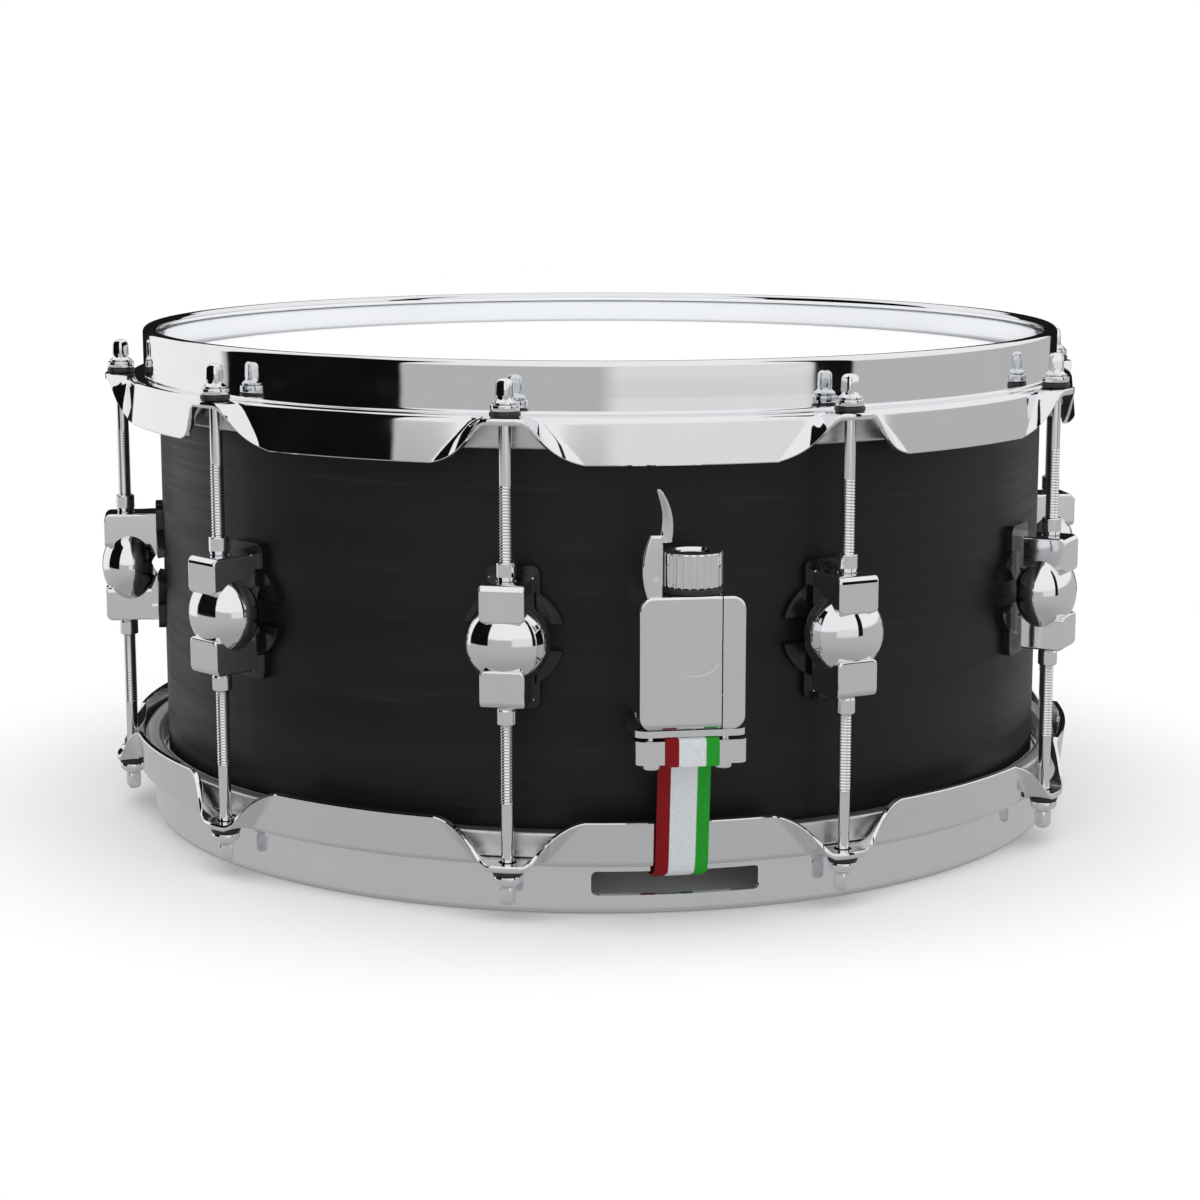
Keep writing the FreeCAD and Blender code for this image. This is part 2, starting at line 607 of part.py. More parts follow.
def lever_cover():
    """The front plate of the lever, with two knuckles that reach back to the hinge pin."""
    plate = block(-HOUSING_HALF, HOUSING_HALF, COVER_BACK, HOUSING_FRONT, HOUSING_LOW, HOUSING_HIGH)
    plate = rounded(plate, HOUSING_CORNER, lambda e: runs_along(e, Vector(0, 1, 0)))
    plate = rounded(plate, 0.8, lambda e: e.BoundBox.YMax < -HOUSING_FRONT + 0.01)
    below, above = HOUSING_LOW - 1, HOUSING_HIGH + 1
    plate = plate.cut([block(COVER_RIGHT, ACROSS, BACK_WALL, BEYOND, below, above), front_seat()])
    toe_at, toe_height = HOUSING_FRONT - TOE_ROUND, HOUSING_LOW + TOE_ROUND
    toe = block(-ACROSS, ACROSS, toe_at, BEYOND, below, toe_height)
    plate = plate.cut(toe.cut(tangent_pin(TOE_ROUND, -ACROSS - 1, ACROSS + 1, toe_at, toe_height)))
    for left in KNUCKLE_LEFTS:
        right = left + KNUCKLE_WIDTH
        knuckle = tangent_pin(KNUCKLE_RADIUS, left, right, PIN_RADIUS_AT, PIN_HEIGHT)
        web = block(left, right, PIN_RADIUS_AT, COVER_BACK + 1, PIN_HEIGHT - KNUCKLE_RADIUS,
                    PIN_HEIGHT + KNUCKLE_RADIUS)
        plate = plate.fuse([knuckle, web])
    return plate.cut(tangent_pin(PIN_RADIUS + PIN_FIT, -ACROSS, ACROSS, PIN_RADIUS_AT, PIN_HEIGHT))


def lever_arm():
    """The arm beside the knob: its left side bulges, and its front has a stepped slot."""
    top, side, foot = (Vector(x, -COVER_BACK, z) for x, z in ARM_OUTLINE)
    low_right, high_right = Vector(ARM_RIGHT, -COVER_BACK, foot.z), Vector(ARM_RIGHT, -COVER_BACK, top.z)
    left = Part.Arc(top, side, foot).toShape()
    corners = (foot, low_right, high_right, top)
    straight = [Part.makeLine(a, b) for a, b in zip(corners, corners[1:])]
    arm = Part.Face(Part.Wire([left] + straight)).extrude(RADIAL_OUT * (ARM_FRONT - COVER_BACK))
    arm = rounded(arm, 0.9, lambda e: e.BoundBox.YMax < -ARM_FRONT + 0.01)
    low, high = ARM_SLOT_ENDS
    for half, depth in ARM_SLOT_STEPS:
        slot = block(ARM_SLOT_X - half, ARM_SLOT_X + half, ARM_FRONT - depth, ARM_FRONT + 1, low, high)
        ends = [radial_pin(half, ARM_FRONT - depth, ARM_FRONT + 1, ARM_SLOT_X, z) for z in (low, high)]
        arm = arm.cut(slot.fuse(ends))
    return arm


def lever_horn():
    """The finger hook above the arm: a smooth blade that narrows, curls outwards and ends in a blunt tip."""
    at_foot, first, second = HORN_MIDDLE
    sections = []
    for share in (0.0, 0.2, 0.4, 0.6, 0.8, 0.93, 1.0):
        x = at_foot + first * share + second * share ** 2
        at = (COVER_BACK + ARM_FRONT) / 2 + HORN_LEAN * share ** 2
        tip = math.sqrt(1 - 0.9 * share ** 10)
        half_width, half_depth = [(start + (end - start) * share) * tip
                                  for start, end in (HORN_HALF_WIDTHS, HORN_HALF_DEPTHS)]
        centre = Vector(x, -at, HORN_FOOT + (HORN_TOP - HORN_FOOT) * share)
        long_way, short_way = Vector(half_width, 0, 0), Vector(0, half_depth, 0)
        sections.append(Part.Wire(Part.Ellipse(centre + long_way, centre + short_way, centre).toShape()))
    return Part.makeLoft(sections, True, False)


def hinge_pin():
    return tangent_pin(PIN_RADIUS, -HOUSING_HALF + SEAM, PIN_END, PIN_RADIUS_AT, PIN_HEIGHT)


def throwoff_lever():
    return lever_cover().fuse([lever_arm(), lever_horn()]).removeSplitter()


def throwoff_knob():
    """A fluted knob on its threaded spindle."""
    body = tube(KNOB_RADIUS, 0, KNOB_LOW, KNOB_HIGH, KNOB_X, KNOB_AT)
    body = rounded(body, 0.6, lambda e: e.Curve.TypeId == "Part::GeomCircle")
    flutes = []
    for i in range(KNOB_FLUTES):
        angle = 2 * math.pi * i / KNOB_FLUTES
        x = KNOB_X + (KNOB_RADIUS + 0.25) * math.sin(angle)
        at = KNOB_AT + (KNOB_RADIUS + 0.25) * math.cos(angle)
        flutes.append(tube(0.62, 0, KNOB_LOW - 1, KNOB_HIGH + 1, x, at))
    body = body.cut(flutes)
    dish = Part.makeCone(7.0, 7.6, 0.8, Vector(KNOB_X, -KNOB_AT, KNOB_HIGH - 0.8), UP)
    spindle = tube(SPINDLE_RADIUS, 0, TRAVELLER_LOW - 2, KNOB_LOW + 2, KNOB_X, KNOB_AT)
    return body.cut(dish).fuse(spindle)


def knob_washer():
    low, high = HOUSING_HIGH + 0.05, KNOB_LOW - 0.05
    washer = tube(KNOB_WASHER_RADIUS, SPINDLE_RADIUS + 0.1, low, high, KNOB_X, KNOB_AT)
    return rounded(washer, 0.5, lambda e: e.Length > 2 * math.pi * (KNOB_WASHER_RADIUS - 0.1))


def throwoff_traveller():
    """The block on the spindle's thread, which the clamp hangs from."""
    left, right = TRAVELLER_SIDES
    low, high = TRAVELLER_LOW - 1, TRAVELLER_HIGH + 1
    body = block(left, right, TRAVELLER_BACK, TRAVELLER_FRONT, TRAVELLER_LOW, TRAVELLER_HIGH)
    spindle = tube(SPINDLE_RADIUS + PIN_FIT, 0, low, high, KNOB_X, KNOB_AT)
    stem = tube(STEM_RADIUS + PIN_FIT, 0, low, high, STEM_X, STEM_AT)
    return body.cut([spindle, stem])


def clamp_screw_holes():
    low, high = CLAMP_LOW - 1, JAW_HIGH + 2
    return [tube(CLAMP_SHANK_RADIUS + 0.1, 0, low, high, s * CLAMP_SCREW_X, CLAMP_SCREW_AT) for s in (1, -1)]


def throwoff_carriage():
    """The clamp's upper jaw, on the stem that slides in the traveller."""
    jaw = block(-CLAMP_HALF, CLAMP_HALF, JAW_BACK, JAW_FRONT, JAW_LOW, JAW_HIGH)
    jaw = rounded(jaw, JAW_CORNER, lambda e: runs_along(e, UP)).cut(clamp_screw_holes())
    return jaw.fuse(tube(STEM_RADIUS, 0, JAW_LOW + 0.5, STEM_TOP, STEM_X, STEM_AT))


def clamp_bar():
    """The clamp's lower jaw. The strap is folded over its front."""
    bar = block(-CLAMP_HALF, CLAMP_HALF, CLAMP_BACK, CLAMP_FRONT, CLAMP_LOW, CLAMP_HIGH)
    bar = rounded(bar, 3.4, lambda e: runs_along(e, UP))
    return bar.cut(clamp_screw_holes())


def clamp_screws():
    """Two cap screws that come up through the bar into the upper jaw."""
    screws = []
    for sign in (1, -1):
        x = sign * CLAMP_SCREW_X
        foot = CLAMP_LOW - CLAMP_HEAD_HEIGHT
        head = tube(CLAMP_HEAD_RADIUS, 0, foot, CLAMP_LOW - 0.02, x, CLAMP_SCREW_AT)
        head = rounded(head, 0.6, lambda e: e.BoundBox.ZMax < foot + 0.01)
        socket = tube(CLAMP_SOCKET_RADIUS, 0, foot - 1, CLAMP_LOW - 1.6, x, CLAMP_SCREW_AT)
        shank = tube(CLAMP_SHANK_RADIUS, 0, CLAMP_LOW - 0.5, JAW_HIGH - 0.2, x, CLAMP_SCREW_AT)
        screws.append(head.cut(socket).fuse(shank))
    return group(screws)


def strap():
    """A woven strap: in through the gate, up outside the skirt, and folded round the clamp bar."""
    clear = STRAP / 2 + 0.1
    under = CLAMP_LOW - clear
    front = CLAMP_FRONT + clear
    top = (CLAMP_HIGH + JAW_LOW) / 2
    route = [(164.1, WIRE_HEIGHT - 0.9), (183.0, WIRE_HEIGHT - 0.5), (191.2, 17.0), (192.8, 20.5),
             (197.4, under), (front, under), (front, top), (205.0, top)]
    return band(route, STRAP, STRAP_WIDTH)


def butt_plate():
    """The fixed clamp at the far end of the wires: a body whose foot is the upper jaw."""
    body = block(-HOUSING_HALF, HOUSING_HALF, WITHIN, BUTT_FRONT, JAW_LOW, BUTT_HIGH)
    body = rounded(body, HOUSING_CORNER, lambda e: runs_along(e, Vector(0, 1, 0))
                   and e.BoundBox.ZMin > BUTT_HIGH - 0.1)
    body = rounded(body, 3.0, lambda e: e.BoundBox.YMax < -BUTT_FRONT + 0.01
                   and e.BoundBox.ZMin > BUTT_HIGH - 0.1)
    foot = block(-CLAMP_HALF, CLAMP_HALF, JAW_BACK, JAW_FRONT, JAW_LOW, BUTT_FOOT_HIGH)
    body = body.fuse(rounded(foot, JAW_CORNER, lambda e: runs_along(e, UP)))
    body = body.cut(Part.makeCylinder(HOUSING_BACK, HEIGHT, ORIGIN, UP))
    return turned(body.cut(clamp_screw_holes() + strainer_screw_holes(180)), 180)


# ---------------------------------------------------------------- snare wires

def snare_coils():
    """The outer shape of each coiled strand, side by side under the snare-side head."""
    strands = []
    for i in range(STRANDS):
        x = (i - (STRANDS - 1) / 2) * STRAND_PITCH
        start = Vector(x, -COIL_HALF_LENGTH, WIRE_HEIGHT)
        strands.append(Part.makeCylinder(COIL_RADIUS, 2 * COIL_HALF_LENGTH, start, Vector(0, 1, 0)))
    return group(strands)


def snare_end_plate():
    """A thin plate that holds the strands' ends and the strap."""
    inner, outer = COIL_HALF_LENGTH, COIL_HALF_LENGTH + PLATE_LENGTH - 2
    plate = block(-PLATE_HALF_WIDTH, PLATE_HALF_WIDTH, inner, outer,
                  WIRE_HEIGHT - PLATE_SHEET, WIRE_HEIGHT + 0.5)
    return rounded(plate, 3.0, lambda e: runs_along(e, UP) and e.BoundBox.YMin < -outer + 0.1)


# ---------------------------------------------------------------- the whole drum

def build():
    nodes = {
        "shell": shell(),
        "vent_grommet": vent_grommet(),
        "batter_head": head_film(SNARE_STAND + SHELL_DEPTH, -1),
        "batter_flesh_hoop": flesh_hoop(HEIGHT, -1),
        "snare_head": head_film(SNARE_STAND, 1),
        "snare_flesh_hoop": flesh_hoop(0, 1),
        "batter_hoop": counter_hoop(HEIGHT),
        "snare_hoop": snare_side_hoop(),
        "lug_gaskets": around([lug_gasket()]),
        "swivel_nuts": around([swivel_nut(), flipped(swivel_nut(), MIDDLE)]),
        "shell_screws": at_shell_screws(shell_screw),
        "shell_screw_washers": at_shell_screws(lambda z, end: shell_screw_washer(z)),
        "rod_washers": around(washer_pair(WASHER_RADIUS, WASHER_TOP, WASHER_BOTTOM)),
        "rod_nylon_washers": around(washer_pair(NYLON_RADIUS, WASHER_BOTTOM, EAR_TOP)),
        "throwoff_housing": throwoff_housing(),
        "throwoff_lever": throwoff_lever(),
        "throwoff_hinge_pin": hinge_pin(),
        "throwoff_knob": throwoff_knob(),
        "throwoff_knob_washer": knob_washer(),
        "throwoff_traveller": throwoff_traveller(),
        "throwoff_carriage": throwoff_carriage(),
        "throwoff_clamp_bar": clamp_bar(),
        "throwoff_clamp_screws": clamp_screws(),
        "throwoff_strap": strap(),
        "butt_plate": butt_plate(),
        "butt_clamp_bar": turned(clamp_bar(), 180),
        "butt_clamp_screws": turned(clamp_screws(), 180),
        "butt_strap": turned(strap(), 180),
        "snare_coils": snare_coils(),
        "snare_end_plates": group([snare_end_plate(), turned(snare_end_plate(), 180)]),
    }
    one_lug, top_rod, low_rod = lug(), batter_rod(), snare_rod()
    for i, angle in enumerate(lug_angles(), 1):
        nodes["lug_%02d" % i] = turned(one_lug, angle)
        nodes["batter_rod_%02d" % i] = turned(top_rod, angle)
        nodes["snare_rod_%02d" % i] = turned(low_rod, angle)
    return nodes


os.makedirs("parts", exist_ok=True)
for name, shape in build().items():
    shape.exportStep(os.path.join("parts", name + ".step"))
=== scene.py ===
import json
import math

import bmesh
import bpy
from mathutils import Matrix, Vector


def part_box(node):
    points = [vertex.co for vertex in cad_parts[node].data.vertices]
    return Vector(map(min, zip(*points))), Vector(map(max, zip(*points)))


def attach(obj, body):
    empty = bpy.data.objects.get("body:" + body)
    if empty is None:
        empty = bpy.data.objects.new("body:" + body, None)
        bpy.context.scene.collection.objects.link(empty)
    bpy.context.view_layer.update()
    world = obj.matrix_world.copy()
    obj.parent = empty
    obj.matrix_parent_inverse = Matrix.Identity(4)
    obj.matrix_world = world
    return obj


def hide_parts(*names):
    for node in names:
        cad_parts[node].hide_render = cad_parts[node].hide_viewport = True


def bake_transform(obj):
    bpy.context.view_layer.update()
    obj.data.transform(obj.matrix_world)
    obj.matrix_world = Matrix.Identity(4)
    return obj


# A snare drum, in metres. +Z is up, the drum's axis is Z, and the snare-side rim stands on z = 0.
# Angles around the drum are counted from -Y, where the throw-off sits, towards +X.

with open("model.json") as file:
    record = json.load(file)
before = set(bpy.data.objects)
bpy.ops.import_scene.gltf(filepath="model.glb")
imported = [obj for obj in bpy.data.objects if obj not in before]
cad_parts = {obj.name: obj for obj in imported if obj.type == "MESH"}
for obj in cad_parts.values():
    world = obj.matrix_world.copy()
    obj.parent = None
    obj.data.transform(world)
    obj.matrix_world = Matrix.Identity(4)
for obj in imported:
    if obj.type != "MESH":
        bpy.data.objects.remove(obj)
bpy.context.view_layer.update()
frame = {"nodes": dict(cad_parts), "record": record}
NODES = frame["nodes"]
MM = 0.001
LUGS = 10


def node_low(name):
    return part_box(name)[0]


def node_high(name):
    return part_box(name)[1]


RIM_TOP = node_high("batter_hoop").z
SHELL_LOW = node_low("shell").z
SHELL_HIGH = node_high("shell").z
MIDDLE = (SHELL_LOW + SHELL_HIGH) / 2
SHELL_RADIUS = node_high("shell").x
PLY_PAIR = 0.00144            # metres: a light ply and a dark one
BARE_FROM = (0.0071, 0.0069)  # metres in from the shell's outside, where its inner face turns to cut plies
WAX_FROM = (0.0007, 0.0003)   # and where the cut plies turn to wax

# Counter hoop, with depths counted from the rim's crown
WALL_RADIUS = 183.65 * MM
WALL_SHEET = 2.3 * MM
CROWN_WIDTH = 4.85 * MM
CROWN_HEIGHT = 4.2 * MM
CROWN_ROUND = 1.95 * MM
LEDGE_TOP = 18.2 * MM
LEDGE_BOTTOM = 20.5 * MM
LEDGE_FILLET = 1.3 * MM
SKIRT_ROUND = 1.9 * MM
SKIRT_TOP_RADIUS = 189.9 * MM
SKIRT_BOTTOM_RADIUS = 191.4 * MM
SKIRT_BOTTOM = 34.6 * MM
SKIRT_SHEET = 2.1 * MM
EAR_REACH = 198.8 * MM
CREASE_TOP_HALF = 12.6 * MM     # half the width of an ear's fold where it leaves the ledge
CREASE_FOOT_HALF = 26.6 * MM    # and where it meets the skirt's edge
CREASE_OVER_EDGE = 0.4 * MM     # the least that the fold keeps above the skirt's edge
CREASE_UNDER_BEND = 0.05 * MM   # and below the ledge's bend
EAR_LEG = ((5.0, 0.0), (10.5, 0.0), (11.5, 0.8), (27.0, 1.0))   # Bezier points: mm along, share of the drop
ROD_HOLE = 3.2 * MM
ROD_HOLE_DEPTH = 9 * MM         # enough to go right through the ledge
GATE_HALF = 30.0 * MM
GATE_LOW = 6.6 * MM
GATE_HIGH = 15.2 * MM
GATE_CORNER = 2.0 * MM
GATE_CUT_DEPTH = 14 * MM      # enough to go right through the wall

# Tension rods, with depths counted from the rim's crown
ROD_CIRCLE = 192.5 * MM
THREAD_PITCH = 1.06 * MM
THREAD_DEPTH = 0.32 * MM
THREAD_TOP = 41.0 * MM
THREAD_RADIUS = 2.5 * MM
SHANK_RADIUS = 2.25 * MM
NUT_TOP = 28.3 * MM           # from the lug's middle to the top of its swivel nut
THREAD_END = 10.0 * MM        # and to the end of the rod
THREAD_INTO_NUT = 1.5 * MM    # how far the thread is modelled past the nut's top
HEAD_TURNS = (12, 37, 71, 4, 55, 28, 83, 46, 19, 64)    # degrees that each rod's head happens to stand at

# Rod head, as (depth, half-width, squareness): 2 is round, and a higher number is closer to a square.
# The washers under it are (radius, depth) outlines. All in mm.
HEAD_RINGS = ((5.10, 0.50, 2.5), (5.20, 1.20, 3), (5.50, 1.75, 4), (6.00, 2.15, 5), (6.80, 2.42, 6),
              (10.60, 2.55, 6), (11.20, 2.55, 5), (11.60, 2.60, 3), (12.10, 2.90, 2), (12.60, 3.45, 2),
              (12.95, 4.05, 2), (13.10, 4.28, 2), (13.60, 4.28, 2), (13.74, 4.12, 2), (13.75, 2.60, 2))
METAL_WASHER = ((2.65, 13.85), (4.80, 13.85), (5.02, 13.95), (5.08, 14.20), (5.08, 15.75), (5.00, 15.98),
                (4.80, 16.08), (2.65, 16.08))
NYLON_WASHER = ((2.65, 16.12), (4.60, 16.12), (5.10, 16.30), (5.36, 16.75), (5.40, 17.15), (5.36, 17.60),
                (5.10, 18.02), (4.60, 18.18), (2.65, 18.18))

# Heads, as (radius, height over the bearing edge), and their flesh hoops, in mm
FILM_LINE = ((60.0, 0.31), (120.0, 0.31), (165.0, 0.31), (174.6, 0.31), (176.3, 0.24), (177.25, -0.25),
             (177.95, -0.95), (178.45, -1.90), (179.30, -4.60), (180.30, -7.90), (180.70, -9.40),
             (180.84, -10.60), (180.84, -14.00))
FILM = 0.18
FLESH_IN = 181.0
FLESH_OUT = 187.1
FLESH_TOP = 20.6              # depth from the rim's crown
FLESH_HEIGHT = 9.2
FLESH_ROUND = 1.1

# Snare wires and their straps
STRANDS = 20
STRAND_PITCH = 2.2 * MM
COIL_RADIUS = 0.65 * MM
COIL_WIRE = 0.20 * MM
COIL_PITCH = 1.15 * MM
COIL_HALF_LENGTH = 151.0 * MM
WIRE_HEIGHT = (node_low("snare_coils").z + node_high("snare_coils").z) / 2
PLATE_CORNER = 2.6 * MM
PLATE_SLOT_ROOM = 2.5 * MM    # how much longer a plate's slot is than the strap's width
PLATE_SLOT_WIDTH = 2.2 * MM
PLATE_SLOT_DEPTH = 4.0 * MM
PLATE_SLOT_INSET = 3.4 * MM
PLATE_EDGE_ROUND = 0.22 * MM
STRAP_HALF = 9.25 * MM
STRAP = 0.78 * MM
STRAP_LEVEL = WIRE_HEIGHT - 0.9 * MM      # the height that a strap's inner route is counted from
STRAP_DIP = 0.9 * MM          # how far below that it passes under the end plate
STRAP_GAP = 0.16 * MM         # between a strap and the clamp bar that it is folded round
STRAP_CORNER = 1.3 * MM
RIB_PITCH = 0.75 * MM
RIB_DEPTH = 0.10 * MM


def turn(degrees):
    return Matrix.Rotation(math.radians(degrees), 4, "Z")


def lug_angles():
    step = 360 / LUGS
    return [step / 2 + step * i for i in range(LUGS)]


# ---------------------------------------------------------------- mesh helpers

def mesh_object(name, points, faces, smooth=True):
    mesh = bpy.data.meshes.new(name)
    mesh.from_pydata(points, [], faces)
    mesh.validate()
    mesh.update()
    if smooth:
        mesh.polygons.foreach_set("use_smooth", [True] * len(mesh.polygons))
    piece = bpy.data.objects.new(name, mesh)
    bpy.context.scene.collection.objects.link(piece)
    return piece


def rings_to_faces(rings, count, closed_rings=False):
    """Quads between `rings` rows of `count` points each. The last row joins the first if closed_rings."""
    faces = []
    rows = rings if closed_rings else rings - 1
    for i in range(rows):
        a, b = i * count, ((i + 1) % rings) * count
        for j in range(count):
            k = (j + 1) % count
            faces.append((a + j, a + k, b + k, b + j))
    return faces


def lathe(name, outline, steps=256):
    """A closed outline of (radius, z) points, turned round the drum's axis."""
    points = []
    for i in range(steps):
        angle = 2 * math.pi * i / steps
        points += [(r * math.sin(angle), -r * math.cos(angle), z) for r, z in outline]
    return mesh_object(name, points, rings_to_faces(steps, len(outline), closed_rings=True))


def lofted(name, rings, capped=True):
    """A skin over equal rings of points, with a fan over each end."""
    count = len(rings[0])
    points = [p for ring in rings for p in ring]
    faces = rings_to_faces(len(rings), count)
    if capped:
        faces.append(tuple(range(count))[::-1])
        last = (len(rings) - 1) * count
        faces.append(tuple(range(last, last + count)))
    return mesh_object(name, points, faces)


def arc(centre, radius, start, end, steps):
    """Points of a round corner in the (radius, depth) plane, angles in degrees."""
    turns = [math.radians(start + (end - start) * i / steps) for i in range(steps + 1)]
    return [(centre[0] + radius * math.cos(t), centre[1] + radius * math.sin(t)) for t in turns]


def sharp_above(piece, degrees):
    """Smooth shading, with edges sharper than the angle kept crisp."""
    mesh = piece.data
    with bpy.context.temp_override(object=piece, active_object=piece, selected_editable_objects=[piece]):
        bpy.ops.object.shade_smooth_by_angle(angle=math.radians(degrees), keep_sharp_edges=False)
    mesh.update()
    return piece


def apply_modifiers(piece):
    graph = bpy.context.evaluated_depsgraph_get()
    baked = bpy.data.meshes.new_from_object(piece.evaluated_get(graph))
    piece.modifiers.clear()
    piece.data = baked
    return piece


def cut(piece, tools):
    """Takes the tools' volume out of the piece, then removes the tools."""
    for tool in tools:
        change = piece.modifiers.new("cut", "BOOLEAN")
        change.operation = "DIFFERENCE"
        change.solver = "EXACT"
        change.object = tool
    apply_modifiers(piece)
    for tool in tools:
        bpy.data.objects.remove(tool)
    return piece


# ---------------------------------------------------------------- node helpers

class Nodes:
    """A short way to write a node tree."""

    def __init__(self, tree):
        self.tree = tree
        self.tree.nodes.clear()

    def add(self, kind, **values):
        made = self.tree.nodes.new("ShaderNode" + kind)
        for key, value in values.items():
            setattr(made, key, value)
        return made

    def feed(self, value, socket):
        if isinstance(value, bpy.types.NodeSocket):
            self.tree.links.new(value, socket)
        else:
            socket.default_value = value

    def math(self, operation, a, b=0.0, c=0.0):
        made = self.add("Math", operation=operation)
        for value, socket in zip((a, b, c), made.inputs):
            self.feed(value, socket)
        return made.outputs[0]

    def between(self, value, low, high, to_low=0.0, to_high=1.0):
        """A smooth step from to_low at `low` to to_high at `high`."""
        made = self.add("MapRange", interpolation_type="SMOOTHSTEP")
        for item, socket in zip((value, low, high, to_low, to_high), made.inputs):
            self.feed(item, socket)
        return made.outputs[0]

    def mix(self, share, a, b):
        made = self.add("Mix", data_type="RGBA")
        self.feed(share, made.inputs[0])
        self.feed(a, made.inputs[6])
        self.feed(b, made.inputs[7])
        return made.outputs[2]

    def noise(self, vector, scale, detail=3.0, rough=0.5):
        made = self.add("TexNoise")
        self.feed(vector, made.inputs["Vector"])
        made.inputs["Scale"].default_value = scale
        made.inputs["Detail"].default_value = detail
        made.inputs["Roughness"].default_value = rough
        return made.outputs[0]

    def vector(self, x, y, z):
        made = self.add("CombineXYZ")
        for value, socket in zip((x, y, z), made.inputs):
            self.feed(value, socket)
        return made.outputs[0]

    def place(self):
        """The point's own x, y, z in metres."""
        made = self.add("SeparateXYZ")
        self.feed(self.add("TexCoord").outputs["Object"], made.inputs[0])
        return made.outputs

    def bump(self, height, distance, strength=1.0):
        made = self.add("Bump")
        made.inputs["Strength"].default_value = strength
        made.inputs["Distance"].default_value = distance
        self.feed(height, made.inputs["Height"])
        return made.outputs[0]


def grey(level):
    return (level, level, level, 1.0)


def material(name):
    """An empty material, its nodes and its shader."""
    made = bpy.data.materials.new(name)
    made.use_nodes = True
    nodes = Nodes(made.node_tree)
    shader = nodes.add("BsdfPrincipled")
    nodes.feed(shader.outputs[0], nodes.add("OutputMaterial").inputs[0])
    return made, nodes, shader


def around_and_up(nodes):
    """Where a point is on a drum: the way round in metres, its radius, and its height."""
    x, y, z = nodes.place()
    radius = nodes.math("SQRT", nodes.math("ADD", nodes.math("MULTIPLY", x, x), nodes.math("MULTIPLY", y, y)))
    way = nodes.math("MULTIPLY", nodes.math("ARCTAN2", x, nodes.math("MULTIPLY", y, -1.0)), SHELL_RADIUS)
    return way, radius, z


# ---------------------------------------------------------------- materials

def chrome():
    """Mirror chrome with the faint waviness and the light wipe marks of polished plate."""
    made, nodes, shader = material("chrome_plate")
    place = nodes.add("TexCoord").outputs["Object"]
    wipe = nodes.noise(place, 60.0, 4.0, 0.6)
    nodes.feed(nodes.mix(wipe, (0.80, 0.81, 0.83, 1), (0.86, 0.87, 0.88, 1)), shader.inputs["Base Color"])
    nodes.feed(nodes.between(wipe, 0.35, 0.75, 0.025, 0.07), shader.inputs["Roughness"])
    shader.inputs["Metallic"].default_value = 1.0
    nodes.feed(nodes.bump(nodes.noise(place, 140.0, 2.0), 0.00002, 0.25), shader.inputs["Normal"])
    return made


def aluminium():
    """The drawn ring of a head: satin, with fine lines that run round it."""
    made, nodes, shader = material("flesh_hoop_aluminium")
    way, radius, z = around_and_up(nodes)
    lines = nodes.noise(nodes.vector(nodes.math("MULTIPLY", way, 4.0), nodes.math("MULTIPLY", radius, 900.0),
                                     nodes.math("MULTIPLY", z, 900.0)), 1.0, 3.0, 0.6)
    nodes.feed(nodes.mix(lines, grey(0.58), grey(0.74)), shader.inputs["Base Color"])
    nodes.feed(nodes.between(lines, 0.2, 0.8, 0.28, 0.45), shader.inputs["Roughness"])
    shader.inputs["Metallic"].default_value = 1.0
    nodes.feed(nodes.bump(lines, 0.00008, 0.4), shader.inputs["Normal"])
    return made


def shell_finish():
    """Satin black wax outside, and pale maple plies on the bearing edges and inside."""
    made, nodes, shader = material("shell_black_wax")
    way, radius, z = around_and_up(nodes)
    grain = nodes.noise(nodes.vector(nodes.math("MULTIPLY", way, 14.0), nodes.math("MULTIPLY", radius, 60.0),
                                     nodes.math("MULTIPLY", z, 520.0)), 1.0, 6.0, 0.62)
    figure = nodes.noise(nodes.vector(nodes.math("MULTIPLY", way, 5.0), 0.0,
                                      nodes.math("MULTIPLY", z, 42.0)), 1.0, 3.0, 0.5)
    pores = nodes.between(grain, 0.55, 0.72)
    wax = nodes.mix(nodes.between(figure, 0.35, 0.7),
                    (0.0040, 0.0040, 0.0046, 1), (0.0078, 0.0078, 0.0086, 1))
    wax = nodes.mix(nodes.math("MULTIPLY", pores, 0.6), wax, (0.014, 0.014, 0.0155, 1))
    plies = nodes.math("SINE", nodes.math("MULTIPLY", radius, 2 * math.pi / PLY_PAIR))
    bare = nodes.mix(nodes.between(plies, -0.4, 0.4), (0.62, 0.43, 0.25, 1), (0.74, 0.56, 0.36, 1))
    inside = nodes.mix(grain, (0.60, 0.42, 0.25, 1), (0.78, 0.60, 0.40, 1))
    cut_plies = nodes.between(radius, SHELL_RADIUS - BARE_FROM[0], SHELL_RADIUS - BARE_FROM[1])
    bare = nodes.mix(cut_plies, inside, bare)
    waxed = nodes.between(radius, SHELL_RADIUS - WAX_FROM[0], SHELL_RADIUS - WAX_FROM[1])
    nodes.feed(nodes.mix(waxed, bare, wax), shader.inputs["Base Color"])
    nodes.feed(nodes.between(grain, 0.3, 0.7, 0.40, 0.50), shader.inputs["Roughness"])
    shader.inputs["Specular IOR Level"].default_value = 0.30
    nodes.feed(nodes.bump(grain, 0.00010, 0.5), shader.inputs["Normal"])
    return made


def coated_film():
    """White film with the fine sprayed grit of a coated head."""
    made, nodes, shader = material("coated_white_film")
    place = nodes.add("TexCoord").outputs["Object"]
    grit = nodes.noise(place, 1500.0, 3.0, 0.7)
    cloud = nodes.noise(place, 22.0, 3.0)
    nodes.feed(nodes.mix(cloud, (0.84, 0.85, 0.86, 1), (0.90, 0.905, 0.91, 1)), shader.inputs["Base Color"])
    nodes.feed(nodes.between(grit, 0.3, 0.7, 0.55, 0.75), shader.inputs["Roughness"])
    nodes.feed(nodes.bump(grit, 0.00006, 0.6), shader.inputs["Normal"])
    return made


